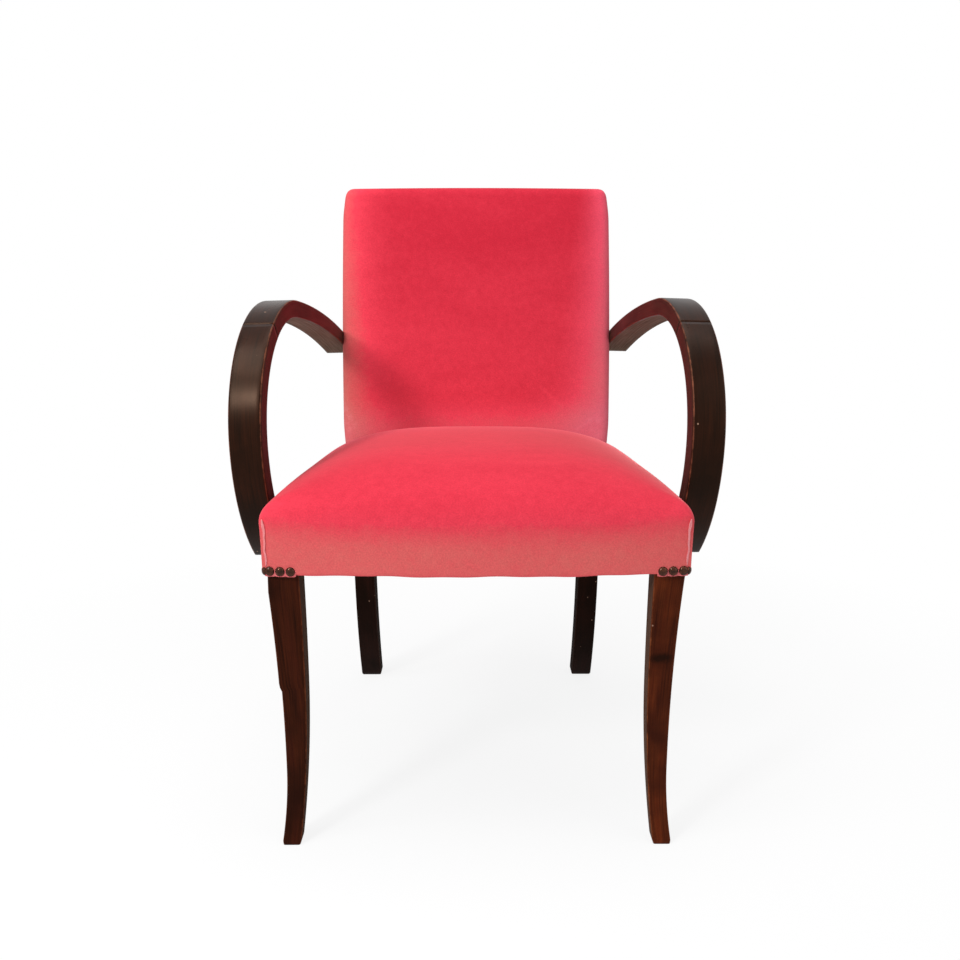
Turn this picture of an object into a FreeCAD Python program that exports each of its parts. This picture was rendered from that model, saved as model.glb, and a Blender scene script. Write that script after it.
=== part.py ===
import FreeCAD, Part
import math
import os

# Bridge armchair: sabre front legs, raked rear posts, loop arms, sprung seat and padded leaning back.
# Millimetres. The front looks along -y, x runs to the right as seen from the front, z is up.
# Sizes along y are measured from the front face of the front legs, then the chair is centred.

V = FreeCAD.Vector

# Seat frame
seat_front_half = 239.0
seat_rear_half = 200.0
seat_depth = 442.0
rail_bottom = 345.0
rail_height = 55.0
rail_thick = 25.0
apron_bow = 15.0

# Front legs, one sawing template used on the front and on the side
leg_top_width = 36.0
leg_waist_height = 95.0
leg_waist_inset = 11.5
leg_foot_inset = 3.5
leg_foot_width = 22.5
leg_inner_height = 200.0
leg_inner_swell = 1.6

# Rear posts
post_width = 35.0
post_seat_depth = 42.0
post_top_depth = 26.0
post_foot_depth = 33.0
post_foot_sweep = 93.0
post_bend_drop = 15.0
knee_rise = 2.0
back_post_length = 404.0
back_lean = 10.5

# Back frame rails
back_rail_thick = 22.0
back_top_rail_height = 45.0
back_low_rail_height = 40.0
back_low_rail_rise = 20.0

# Arms
arm_width = 40.0
arm_overhang = 8.0
arm_front_height = 479.0
arm_low_radius = 203.0
arm_crest_radius = 167.0
arm_rear_radius = 1064.0
arm_front_thick = 24.5
arm_crest_thick = 22.8
arm_rear_thick = 20.0
arm_crest_turn = 95.85
arm_joint_turn = 57.0
arm_flare = 1.40754
arm_lean = 1.72
arm_end_offset = 1.0
arm_end_past = 8.0
arm_bottom_drop = 7.0
arm_land_margin = 3.0

# Dowels, screws, corner blocks and upholstery nails
dowel_radius = 4.0
dowel_length = 44.0
dowel_fit = 0.05
rail_dowel_spread = 16.0
side_dowel_spread = 6.0
arm_dowel_spread = 9.0
arm_dowel_length = 36.0
screw_radius = 2.0
screw_head_radius = 4.0
screw_head_height = 2.6
block_screw_length = 48.0
arm_screw_length = 52.0
block_leg = 70.0
block_height = 36.0
block_screw_place = 40.0
nail_head_radius = 5.25
nail_head_height = 3.2
nail_pitch = 12.0
nail_count = 3
nail_rise = 5.0
nail_shank_radius = 0.8
nail_shank_length = 11.0
nail_stand = 0.1

# Seat upholstery
cover_thick = 1.6
cover_frame_gap = 0.4
cover_draft = 5.0
cover_hem = 11.0
shoulder_rise = 5.0
crown_height = 46.0
crown_power = 3.5
crown_round = 20.0
corner_round = 12.0
corner_hem_round = 2.5
seat_back_gap = 23.0
soft_gap = 0.3
wadding_thick = 8.0
canvas_thick = 1.2
canvas_rise = 32.0
canvas_slope_width = 48.0
canvas_rail_inset = 12.0
canvas_flange = 13.0
strap_thick = 1.6
seat_strap_width = 60.0
seat_strap_count = 3
seat_strap_pitch_x = 95.0
seat_strap_pitch_y = 105.0
strap_rail_inset = 13.0
dust_cloth_thick = 1.2
dust_cloth_inset = 6.0
spring_wire_radius = 1.7
spring_end_radius = 34.0
spring_waist_radius = 25.0
spring_half_turns = 10

# Back upholstery
back_side_pad = 5.0
back_pad_front = 20.0
back_crown = 9.0
back_crown_power = 4.0
back_pad_drop = 4.0
back_top_pad = 9.0
back_edge_round = 12.0
back_strap_width = 50.0
back_strap_count = 3
back_strap_pitch_x = 105.0
back_strap_pitch_z = 95.0

# Places that follow from the sizes
rail_top = rail_bottom + rail_height
rail_middle = rail_bottom + rail_height / 2.0
knee_height = rail_top + knee_rise
splay_slope = (seat_front_half - seat_rear_half) / seat_depth
splay_slant = math.sqrt(1.0 + splay_slope * splay_slope)
cover_offset = cover_thick + cover_frame_gap
seat_back_y = seat_depth - seat_back_gap
arm_reach = seat_depth + arm_overhang
arm_splay = math.degrees(math.atan(splay_slope)) + arm_flare
lean_sin = math.sin(math.radians(back_lean))
lean_cos = math.cos(math.radians(back_lean))
lean_tan = lean_sin / lean_cos
post_rear_y = seat_depth + post_seat_depth
front_reach = -(apron_bow + cover_offset + cover_draft)
rear_reach = seat_depth + post_foot_sweep + post_foot_depth
middle_y = (front_reach + rear_reach) / 2.0
far = 2.0 * (seat_depth + back_post_length)


def face_of(segments, lift):
    """Flat face from lines (two points) and arcs (three points), each point placed by lift."""
    edges = []
    for segment in segments:
        points = [lift(p) for p in segment]
        if len(points) == 2:
            edges.append(Part.LineSegment(*points).toShape())
        else:
            edges.append(Part.Arc(*points).toShape())
    return Part.Face(Part.Wire(edges))


def chain(points):
    """Line segments from each point to the next."""
    return list(zip(points[:-1], points[1:]))


def plan_prism(points, low, high):
    """Upright prism on a polygon of (x, y) points."""
    face = face_of(chain(points + points[:1]), lambda p: V(p[0], p[1], low))
    return face.extrude(V(0, 0, high - low))


def side_prism(points, x0, x1):
    """Prism along x on a polygon of (y, z) points."""
    face = face_of(chain(points + points[:1]), lambda p: V(x0, p[0], p[1]))
    return face.extrude(V(x1 - x0, 0, 0))


def box(x0, x1, y0, y1, z0, z1):
    return Part.makeBox(x1 - x0, y1 - y0, z1 - z0, V(x0, y0, z0))


def mirrored(shape):
    return shape.mirror(V(0, 0, 0), V(1, 0, 0))


def both_sides(shapes):
    """Shapes on the right, then their mirror images on the left."""
    return shapes + [mirrored(shape) for shape in shapes]


def upright_arc(end, still):
    """Arc from end to still, upright at still. Points are (across, height)."""
    across = end[0] - still[0]
    rise = end[1] - still[1]
    radius = (across * across + rise * rise) / (2.0 * abs(across))
    half_angle = math.asin(abs(rise) / radius) / 2.0
    middle = (still[0] + math.copysign(radius * (1.0 - math.cos(half_angle)), across),
              still[1] + math.copysign(radius * math.sin(half_angle), rise))
    return (end, middle, still)


def backwards(segment):
    return tuple(reversed(segment))


def side_x(y):
    """Outer face of the seat frame at y."""
    return seat_front_half - splay_slope * y


# Front legs


def leg_outer_edge():
    """Outer edge of the sawing template, down from the top: distance in from the face, and height."""
    shoulder = (0.0, rail_bottom)
    waist = (leg_waist_inset, leg_waist_height)
    toe = (leg_foot_inset, 0.0)
    return [((0.0, rail_top), shoulder), upright_arc(shoulder, waist), backwards(upright_arc(toe, waist))]


def leg_template():
    """The whole sawing template of a front leg."""
    toe = (leg_foot_inset, 0.0)
    heel = (leg_foot_inset + leg_foot_width, 0.0)
    swell = (leg_top_width + leg_inner_swell, leg_inner_height)
    armpit = (leg_top_width, rail_bottom)
    inner_edge = [upright_arc(heel, swell), backwards(upright_arc(armpit, swell))]
    top = chain([armpit, (leg_top_width, rail_top), (0.0, rail_top)])
    return leg_outer_edge() + [(toe, heel)] + inner_edge + top


def front_leg():
    """Right front leg: sawn on the front, sawn on the side, then planed outside to the seat's splay."""
    reach = 2.0 * leg_top_width
    front = face_of(leg_template(), lambda p: V(seat_front_half - p[0], 0, p[1])).extrude(V(0, reach, 0))
    side = face_of(leg_template(), lambda p: V(seat_front_half - reach, p[0], p[1])).extrude(V(reach, 0, 0))
    toe = (leg_foot_inset, 0.0)
    outside = chain([toe, (-reach, 0.0), (-reach, rail_top), (0.0, rail_top)])
    waste = face_of(leg_outer_edge() + outside, lambda p: V(seat_front_half - p[0], 0, p[1]))
    return front.common(side).cut(waste.extrude(V(-splay_slope * reach, reach, 0)))


# Rear posts


def post_front_y(height):
    """Front face of a rear post above the seat."""
    return seat_depth + max(0.0, height - knee_height) * lean_tan


def on_back(across, out, up):
    """Point of the leaning back: out is behind the posts' front faces, up is along them."""
    y = seat_depth + up * lean_sin + out * lean_cos
    return V(across, y, knee_height + up * lean_cos - out * lean_sin)


def back_place():
    """Placement that carries plain shapes, made upright at the posts' front faces, onto the leaning back."""
    return FreeCAD.Placement(V(0, seat_depth, knee_height), FreeCAD.Rotation(V(1, 0, 0), -back_lean))


def leaning(shape):
    placed = shape.copy()
    placed.Placement = back_place().multiply(shape.Placement)
    return placed


def post_outline():
    """Side view of a rear post: raked foot, upright seat block, leaning top."""
    bend = rail_bottom - post_bend_drop
    foot_y = seat_depth + post_foot_sweep
    top_front = on_back(0, 0, back_post_length)
    top_rear = on_back(0, post_top_depth, back_post_length)
    front = upright_arc((foot_y, 0.0), (seat_depth, bend))
    rear = upright_arc((foot_y + post_foot_depth, 0.0), (post_rear_y, bend))
    upper = chain([(seat_depth, bend), (seat_depth, knee_height), (top_front.y, top_front.z),
                   (top_rear.y, top_rear.z), (post_rear_y, knee_height), (post_rear_y, bend)])
    return [front] + upper + [backwards(rear), ((foot_y + post_foot_depth, 0.0), (foot_y, 0.0))]


def rear_post():
    """Right rear post, sawn from a plank."""
    face = face_of(post_outline(), lambda p: V(seat_rear_half - post_width, p[0], p[1]))
    return face.extrude(V(post_width, 0, 0))


def back_rear_out(up):
    """Rear face of the posts behind their front faces, up the back."""
    knee_out = post_seat_depth * lean_cos
    knee_up = post_seat_depth * lean_sin
    share = (up - knee_up) / (back_post_length - knee_up)
    return knee_out + (post_top_depth - knee_out) * share


# Seat and back rails


def front_rail():
    """Rail between the front legs, its face bowed forward."""
    half = seat_front_half - leg_top_width
    face = face_of([((-half, 0.0), (0.0, -apron_bow), (half, 0.0)), ((half, 0.0), (half, rail_thick)),
                    ((half, rail_thick), (-half, rail_thick)), ((-half, rail_thick), (-half, 0.0))],
                   lambda p: V(p[0], p[1], rail_bottom))
    return face.extrude(V(0, 0, rail_height))


def side_rail():
    """Right side rail, from the front leg's rear face to the post's front face."""
    front = leg_top_width
    rear = seat_depth
    inner = rail_thick * splay_slant
    points = [(side_x(front), front), (side_x(rear), rear), (side_x(rear) - inner, rear),
              (side_x(front) - inner, front)]
    return plan_prism(points, rail_bottom, rail_top)


def rear_rail():
    half = seat_rear_half - post_width
    return box(-half, half, post_rear_y - rail_thick, post_rear_y, rail_bottom, rail_top)


def back_rail(low, high):
    """Rail between the posts, flush with their front faces."""
    half = seat_rear_half - post_width
    return leaning(box(-half, half, 0, back_rail_thick, low, high))


# Arms, drawn flat with y measured forward from the post and turned into place


def arm_ring(centre_y, radius, turn):
    """Point on an arc of the arm: turn is counted from the arc's foremost point, up and back."""
    angle = math.radians(turn)
    return (centre_y - radius * math.cos(angle), arm_front_height + radius * math.sin(angle))


def ring_arc(ring, start, end):
    """Arc of the arm between two turns."""
    return tuple(arm_ring(*ring, turn) for turn in (start, (start + end) / 2.0, end))


def arm_arcs(grow):
    """Centres and radii of the arm's outer and inner arcs round the front, grown outside the wood."""
    front = -arm_reach
    low = front + arm_low_radius
    crest = front + arm_crest_radius
    inner_radius = arm_crest_radius - arm_crest_thick
    inner_crest = front + arm_front_thick + inner_radius
    outer_arcs = [(low, arm_low_radius + grow), (crest, arm_crest_radius + grow)]
    inner_arcs = [(low, arm_low_radius - arm_front_thick - grow), (inner_crest, inner_radius - grow)]
    return outer_arcs + inner_arcs


def arm_support_outline(grow):
    """Front loop, from below the rail up to the joint with the armrest."""
    low, crest, inner_low, inner_crest = arm_arcs(grow)
    drop = arm_front_height - rail_bottom + arm_bottom_drop + rail_height / 2.0
    low_turn = -math.degrees(math.asin(drop / low[1]))
    inner_turn = -math.degrees(math.asin(drop / inner_low[1]))
    outer = [ring_arc(low, low_turn, 0.0), ring_arc(crest, 0.0, arm_joint_turn)]
    inner = [ring_arc(inner_crest, arm_joint_turn, 0.0), ring_arc(inner_low, 0.0, inner_turn)]
    return outer + [(outer[1][-1], inner[0][0])] + inner + [(inner[1][-1], outer[0][0])]


def arm_rear_centre():
    """Centre of the long arc behind the crest."""
    start = arm_ring(*arm_arcs(0.0)[1], arm_crest_turn)
    angle = math.radians(arm_crest_turn)
    return (start[0] + arm_rear_radius * math.cos(angle), start[1] - arm_rear_radius * math.sin(angle))


def arm_middle_height(y):
    """Middle of the armrest's thickness near its rear end."""
    radius = arm_rear_radius - arm_rear_thick / 2.0
    centre = arm_rear_centre()
    return centre[1] + math.sqrt(radius * radius - (y - centre[0]) ** 2)


def armrest_outline(grow):
    """Armrest, from the joint over the crest and down to the post."""
    _, crest, _, inner_crest = arm_arcs(grow)
    top = arm_crest_turn
    angle = math.radians(top)
    long_radius = arm_rear_radius + grow
    centre = arm_rear_centre()
    end_angle = math.acos((centre[0] - 2.0 * arm_end_past) / arm_rear_radius)
    half_angle = (angle + end_angle) / 2.0
    depth = arm_rear_thick + 2.0 * grow
    half_depth = (arm_rear_thick + arm_crest_thick) / 2.0 + 2.0 * grow
    rear = []
    for inward, at in ((0.0, half_angle), (0.0, end_angle), (depth, end_angle), (half_depth, half_angle)):
        radius = long_radius - inward
        rear.append((centre[0] - radius * math.cos(at), centre[1] + radius * math.sin(at)))
    outer = ring_arc(crest, arm_joint_turn, top)
    inner = ring_arc(inner_crest, top, arm_joint_turn)
    return [outer, (outer[-1], rear[0], rear[1]), (rear[1], rear[2]), (rear[2], rear[3], inner[0]), inner,
            (inner[-1], outer[0])]


def arm_end_y():
    """Place along y where the arm's inner face is set against the post."""
    return post_front_y(arm_middle_height(0.0)) + post_seat_depth / 2.0


def arm_place():
    """Turns an arm drawn at x = 0 out to its splay and lean, with its rear end at the post."""
    splay = FreeCAD.Rotation(V(0, 0, 1), arm_splay)
    lean = FreeCAD.Rotation(V(0, 1, 0), arm_lean)
    pivot = V(0, 0, arm_middle_height(0.0))
    foot = V(seat_rear_half + arm_end_offset, arm_end_y(), arm_middle_height(0.0))
    to_pivot = FreeCAD.Placement(-pivot, FreeCAD.Rotation())
    return FreeCAD.Placement(foot, splay.multiply(lean)).multiply(to_pivot)


def placed_arm(shape):
    placed = shape.copy()
    placed.Placement = arm_place().multiply(shape.Placement)
    return placed


def arm_slab(outline, x0, x1):
    """The outline of an arm piece carried across, in place."""
    return placed_arm(face_of(outline, lambda p: V(x0, p[0], p[1])).extrude(V(x1 - x0, 0, 0)))


def arm_foot_land(grow):
    """Land at the foot of the front loop, where it is screwed to the side rail."""
    foot = box(0, far, 0, seat_depth, 0, rail_top - arm_land_margin + grow)
    frame = plan_prism([(0, 0), (side_x(0), 0), (side_x(seat_depth), seat_depth), (0, seat_depth)], 0, far)
    return arm_slab(arm_support_outline(grow), -arm_width, 0.0).common(foot).cut(frame)


def arm_support():
    """Right front loop, with its land, cut off level below the rail."""
    loop = arm_slab(arm_support_outline(0.0), 0.0, arm_width).fuse(arm_foot_land(0.0))
    below = box(0, far, 0, far, 0, rail_bottom - arm_bottom_drop)
    return loop.cut(below).removeSplitter()


def armrest():
    """Right armrest, with a land at the rear end where it is screwed to the post."""
    contact = post_front_y(arm_middle_height(0.0)) + arm_land_margin
    post_zone = box(seat_rear_half, far, contact, far, 0, far)
    land = arm_slab(armrest_outline(0.0), -arm_width, 0.0).common(post_zone)
    rest = arm_slab(armrest_outline(0.0), 0.0, arm_width).fuse(land)
    behind = box(0, far, arm_end_y() + arm_end_past, far, 0, far)
    inside = box(0, seat_rear_half, 0, far, 0, far)
    return rest.cut(behind).cut(inside).removeSplitter()


def armrest_window():
    """Clear space round the armrest's rear end, beside the post."""
    space = box(seat_rear_half, far, 0, arm_end_y() + arm_end_past + soft_gap, 0, far)
    return arm_slab(armrest_outline(soft_gap), -arm_width, arm_width).common(space)


# Dowels and screws


def pins(places, radius, length):
    """Cylinders about the given centres."""
    return [Part.makeCylinder(radius, length, place - direction * (length / 2.0), direction)
            for place, direction in places]


def dowels(places, length):
    return pins(places, dowel_radius, length)


def bores(places, length):
    return pins(places, dowel_radius + dowel_fit, length + 2.0 * dowel_fit)


def rail_dowel_places():
    """Centre and direction of each dowel on the right side of the seat frame."""
    front_x = seat_front_half - leg_top_width
    rear_x = seat_rear_half - post_width
    side_front = side_x(leg_top_width) - rail_thick / 2.0
    side_rear = side_x(seat_depth) - rail_thick / 2.0
    places = []
    for sign in (-1, 1):
        high = rail_middle + sign * rail_dowel_spread
        low = rail_middle + sign * side_dowel_spread
        places.append((V(front_x, rail_thick / 2.0, high), V(1, 0, 0)))
        places.append((V(rear_x, post_rear_y - rail_thick / 2.0, high), V(1, 0, 0)))
        places.append((V(side_front, leg_top_width, low), V(0, 1, 0)))
        places.append((V(side_rear, seat_depth, low), V(0, 1, 0)))
    return places


def back_dowel_places():
    """Centre and direction of each dowel on the right side of the back frame."""
    places = []
    for low, high in back_rail_spans():
        for share in (0.3, 0.7):
            up = low + (high - low) * share
            places.append((on_back(seat_rear_half - post_width, back_rail_thick / 2.0, up), V(1, 0, 0)))
    return places


def back_rail_spans():
    """Low and high edge of the lower and the top rail, up the back."""
    low = back_low_rail_rise
    top = back_post_length
    return (low, low + back_low_rail_height), (top - back_top_rail_height, top)


def arm_dowel_places():
    """Dowels across the joint between the armrest and the front loop."""
    _, crest, _, inner_crest = arm_arcs(0.0)
    outer = arm_ring(*crest, arm_joint_turn)
    inner = arm_ring(*inner_crest, arm_joint_turn)
    cut = V(0, inner[0] - outer[0], inner[1] - outer[1])
    along = cut.cross(V(1, 0, 0)).normalize()
    turned = arm_place().Rotation.multVec(along)
    middle = V(arm_width / 2.0, (outer[0] + inner[0]) / 2.0, (outer[1] + inner[1]) / 2.0)
    return [(arm_place().multVec(middle + V(sign * arm_dowel_spread, 0, 0)), turned) for sign in (-1, 1)]


def screw(head, direction, length):
    """Countersunk wood screw, head flush at the given point."""
    shank = Part.makeCylinder(screw_radius, length, head, direction)
    cone = Part.makeCone(screw_head_radius, screw_radius, screw_head_height, head, direction)
    return cone.fuse(shank)


def screws(places, length):
    return [screw(head, direction, length) for head, direction in places]


def block_corners():
    """Inner corner, run along x and run along y of the front and rear corner blocks on the right."""
    inner = rail_thick * splay_slant
    front_y = rail_thick
    rear_y = post_rear_y - rail_thick
    return (side_x(front_y) - inner, front_y, 1.0), (side_x(rear_y) - inner, rear_y, -1.0)


def corner_block(corner, neighbours):
    """Glue block in a corner of the seat frame, notched round the leg."""
    x, y, way = corner
    side = y + way * block_leg
    inner = rail_thick * splay_slant
    points = [(x, y), (x - block_leg, y), (side_x(side) - inner, side)]
    low = rail_middle - block_height / 2.0
    block = plan_prism(points, low, low + block_height)
    return block.cut(neighbours)


def block_screws(corner):
    """One screw through the block into each rail."""
    x, y, way = corner
    reach = block_leg - block_screw_place
    across = V(x - block_screw_place, y + way * reach, rail_middle)
    side_y = y + way * block_screw_place
    outward = V(1, splay_slope, 0).normalize()
    beside = V(side_x(side_y) - rail_thick - reach, side_y, rail_middle)
    return screws([(across, V(0, -way, 0)), (beside, outward)], block_screw_length)


def arm_rail_screw_places():
    """Heads on the side rail's inner face, in line with the middle of the arm's foot."""
    centre, outer_radius = arm_arcs(0.0)[0]
    radius = outer_radius - arm_front_thick / 2.0
    outward = V(1, splay_slope, 0).normalize()
    places = []
    for sign in (-1, 1):
        height = rail_middle + sign * rail_height / 4.0
        turn = math.degrees(math.asin((height - arm_front_height) / radius))
        along = arm_place().multVec(V(0, *arm_ring(centre, radius, turn))).y
        places.append((V(side_x(along), along, height) - outward * rail_thick, outward))
    return places


def arm_post_screw_places():
    """Heads on the post's inner face, in line with the middle of the armrest's rear end."""
    inner_face = seat_rear_half - post_width
    ways = (-1.5 * arm_end_past, 0.5 * arm_end_past)
    return [(V(inner_face, arm_end_y() + way, arm_middle_height(way)), V(1, 0, 0)) for way in ways]


# Seat upholstery, built up in layers that follow one crowned outline


def seat_outline(grow, corner, rear):
    """Plan of the seat: bowed front, rounded front corners, splayed sides. grow is outside the frame."""
    corner_x = side_x(-grow) + grow * splay_slant
    bow_radius = (corner_x * corner_x + apron_bow * apron_bow) / (2.0 * apron_bow)
    bow_y = bow_radius - apron_bow - grow
    base = seat_front_half + (grow - corner) * splay_slant
    a = splay_slant * splay_slant
    b = -2.0 * (base * splay_slope + bow_y)
    c = base * base + bow_y * bow_y - (bow_radius - corner) ** 2
    y = (-b - math.sqrt(b * b - 4.0 * a * c)) / (2.0 * a)
    x = base - splay_slope * y
    to_front = V(x, y - bow_y, 0).normalize()
    to_side = V(1, splay_slope, 0).normalize()
    between = V(to_front.x + to_side.x, to_front.y + to_side.y, 0).normalize()
    front, middle, side = [(x + corner * way.x, y + corner * way.y) for way in (to_front, between, to_side)]
    back = (side_x(rear) + grow * splay_slant, rear)

    def left(point):
        return (-point[0], point[1])

    return [(left(front), (0.0, -apron_bow - grow), front), (front, middle, side), (side, back),
            (back, left(back)), (left(back), left(side)), (left(side), left(middle), left(front))]


def seat_section(grow, corner, rear, height):
    return face_of(seat_outline(grow, corner, rear), lambda p: V(p[0], p[1], height))


def seat_slab(grow, rear, low, high):
    """Flat layer with the seat's plan."""
    return seat_section(grow, corner_hem_round, rear, low).extrude(V(0, 0, high - low))


def seat_low_top():
    """Top of the cover where it runs back under the back pad."""
    return rail_top + canvas_thick + 2.0 * soft_gap + cover_thick


def crown_slab(inset):
    """Everything below the seat's crowned top."""
    edge = rail_top + shoulder_rise + crown_round - inset
    half_y = (seat_back_y - front_reach) / 2.0
    centre_y = (seat_back_y + front_reach) / 2.0
    steps = [-1.2 + 0.2 * i for i in range(13)]
    rows = []
    for v in steps:
        y = centre_y + v * half_y
        half_x = side_x(y) + cover_offset + cover_draft
        row = []
        for u in steps:
            lift = (1.0 - abs(u) ** crown_power) * (1.0 - abs(v) ** crown_power)
            row.append(V(u * half_x, y, edge + crown_height * lift))
        rows.append(row)
    surface = Part.BSplineSurface()
    surface.interpolate(rows)
    return surface.toShape().extrude(V(0, 0, -rail_top))


def seat_body(inset, rear):
    """Crowned seat, inset from the outside of the cover."""
    shoulder = rail_top + shoulder_rise
    full = cover_offset + cover_draft - inset
    radius = crown_round - inset
    hem_corner = max(corner_hem_round - inset, cover_frame_gap)
    corner = max(corner_round - inset, cover_frame_gap)
    sections = [(cover_offset - inset, hem_corner, rail_bottom - cover_thick), (full, corner, shoulder)]
    for angle in (30.0, 60.0, 85.0):
        turn = math.radians(angle)
        sections.append((full - radius * (1.0 - math.cos(turn)), corner, shoulder + radius * math.sin(turn)))
    top = sections[-1]
    sections.append((top[0] - crown_height * 2.0, corner, top[2] + crown_height))
    wires = [seat_section(grow, bend, rear, height).OuterWire for grow, bend, height in sections]
    body = Part.makeLoft(wires, True, True).common(crown_slab(inset))
    behind = box(-far, far, seat_back_y - inset, far, seat_low_top() - inset, far)
    return body.cut(behind)


def seat_layer(outer, inner):
    """Layer of the seat between two insets, above the rails."""
    rear = seat_depth - soft_gap
    above = box(-far, far, -far, far, rail_top + canvas_thick + soft_gap, far)
    layer = seat_body(outer, rear)
    if inner:
        layer = layer.cut(seat_body(inner, rear))
    return layer.common(above)


def leg_zones(gap):
    """Upright boxes round the front legs and rear posts, with a gap."""
    leg = box(seat_front_half - leg_top_width - gap, far, -far, leg_top_width + gap, -far, far)
    post = box(seat_rear_half - post_width - gap, far, seat_depth - gap, far, -far, far)
    return both_sides([leg, post])


def seat_cover(windows):
    """Velvet over the seat, hemmed under the rails and carried back over the rear rail."""
    rear = seat_depth - soft_gap
    shell = seat_body(0.0, rear).cut(seat_body(cover_thick, rear + cover_hem))
    low = rail_bottom - cover_thick
    inner = seat_slab(cover_offset - cover_hem, rear + cover_hem, low, rail_bottom)
    hem = seat_slab(cover_offset, rear, low, rail_bottom).cut(inner).cut(leg_zones(soft_gap))
    half = seat_rear_half - post_width - soft_gap
    tail_end = post_rear_y - rail_thick / 2.0
    tail = box(-half, half, rear, tail_end, seat_low_top() - cover_thick, seat_low_top())
    return shell.fuse([hem, tail]).cut(windows)


def canvas_tent(inset):
    """Raised middle of the spring canvas."""
    rear = seat_back_y - canvas_rail_inset
    foot = -(canvas_rail_inset + canvas_flange) - inset
    head = foot - canvas_slope_width
    head_rear = rear - canvas_slope_width - inset
    low = seat_section(foot, corner_round, rear - inset, rail_top).OuterWire
    high = seat_section(head, corner_round, head_rear, rail_top + canvas_rise - inset).OuterWire
    return Part.makeLoft([low, high], True, True)


def spring_canvas():
    """Hessian over the springs, tacked to the tops of the rails."""
    high = rail_top + canvas_thick
    half = seat_rear_half - post_width - soft_gap
    flange = seat_slab(-canvas_rail_inset, seat_depth - soft_gap, rail_top, high)
    flange = flange.fuse(box(-half, half, seat_back_y, post_rear_y - canvas_rail_inset, rail_top, high))
    return flange.cut(canvas_tent(0.0)).fuse(canvas_tent(0.0).cut(canvas_tent(canvas_thick))).removeSplitter()


def spring_centre_y():
    """Middle row of springs, half way along the flat top of the canvas."""
    front = canvas_rail_inset + canvas_flange + canvas_slope_width
    rear = seat_back_y - canvas_rail_inset - canvas_slope_width
    return (front + rear) / 2.0


def spread(count, pitch):
    """Evenly pitched places about zero."""
    return [(i - (count - 1) / 2.0) * pitch for i in range(count)]


def seat_straps_lengthwise():
    """Jute straps under the front and rear rails."""
    half = seat_strap_width / 2.0
    return [box(x - half, x + half, strap_rail_inset, post_rear_y - strap_rail_inset,
                rail_bottom - strap_thick, rail_bottom) for x in spread(seat_strap_count, seat_strap_pitch_x)]


def strap_outline(end, edge):
    """Section of a strap fixed under two rails that steps over the straps that cross it."""
    inside = edge - 4.0 * strap_thick
    under = [(-end, -strap_thick), (-edge, -strap_thick), (-inside, 0.0)]
    over = [(inside, strap_thick), (edge, 0.0), (end, 0.0)]
    right = [(-x, height) for x, height in reversed(under)]
    left = [(-x, height) for x, height in reversed(over)]
    return under + right + list(reversed(over)) + list(reversed(left))


def seat_straps_crosswise():
    """Jute straps under the side rails, rising over the lengthwise straps."""
    straps = []
    for offset in spread(seat_strap_count, seat_strap_pitch_y):
        y = spring_centre_y() + offset
        rear = y + seat_strap_width / 2.0
        end = side_x(rear) - strap_rail_inset
        edge = side_x(rear) - 2.0 * strap_rail_inset - 2.0 * strap_thick
        points = strap_outline(end, edge)
        front = y - seat_strap_width / 2.0
        face = face_of(chain(points + points[:1]), lambda p: V(p[0], front, rail_bottom + p[1]))
        straps.append(face.extrude(V(0, seat_strap_width, 0)))
    return straps


def spring_half_turn(start, end):
    """Half a turn of wire from one side of the spring to the other, an exact half ring."""
    middle = (start + end) / 2.0
    across = (end - start).normalize()
    axis = V(0, 1, 0).cross(across)
    wire = Part.Wire(Part.makeCircle(spring_wire_radius, start, V(0, 1, 0)))
    return Part.Face(wire).revolve(middle, axis, 180.0)


def seat_spring(x, y):
    """Waisted coil spring between the straps and the canvas."""
    low = rail_bottom + strap_thick + spring_wire_radius
    high = rail_top + canvas_rise - canvas_thick - soft_gap - spring_wire_radius
    turns = []
    for i in range(spring_half_turns):
        ends = []
        for step in (i, i + 1):
            share = step / spring_half_turns
            waist = 1.0 - abs(2.0 * share - 1.0)
            radius = spring_end_radius + (spring_waist_radius - spring_end_radius) * waist
            side = 1.0 if step % 2 == 0 else -1.0
            ends.append(V(x + side * radius, y, low + (high - low) * share))
        turns.append(spring_half_turn(*ends))
    return turns[0].multiFuse(turns[1:])


def seat_springs():
    return [seat_spring(x, spring_centre_y() + y) for x in spread(seat_strap_count, seat_strap_pitch_x)
            for y in spread(seat_strap_count, seat_strap_pitch_y)]


def dust_cloth():
    """Black cloth that closes the seat from below."""
    high = rail_bottom - cover_thick
    low = high - dust_cloth_thick
    half = seat_rear_half - post_width - soft_gap
    cloth = seat_slab(-dust_cloth_inset, seat_depth - soft_gap, low, high)
    cloth = cloth.fuse(box(-half, half, seat_back_y, post_rear_y - dust_cloth_inset, low, high))
    return cloth.cut(leg_zones(soft_gap)).removeSplitter()


# Back upholstery, made upright at the posts' front faces and then leant back


def back_front(inset):
    """Everything behind the crowned front of the back pad."""
    half_x = seat_rear_half + back_side_pad
    low = back_pad_drop
    high = back_post_length + back_top_pad
    steps = [-1.2 + 0.2 * i for i in range(13)]
    rows = []
    for v in steps:
        row = []
        for u in steps:
            swell = (1.0 - abs(u) ** back_crown_power) * (1.0 - abs(v) ** back_crown_power)
            row.append(V(u * half_x, inset - back_pad_front - back_crown * swell,
                         (low + high) / 2.0 + v * (high - low) / 2.0))
        rows.append(row)
    surface = Part.BSplineSurface()
    surface.interpolate(rows)
    return surface.toShape().extrude(V(0, 2.0 * (post_seat_depth + back_pad_front), 0))


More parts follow.
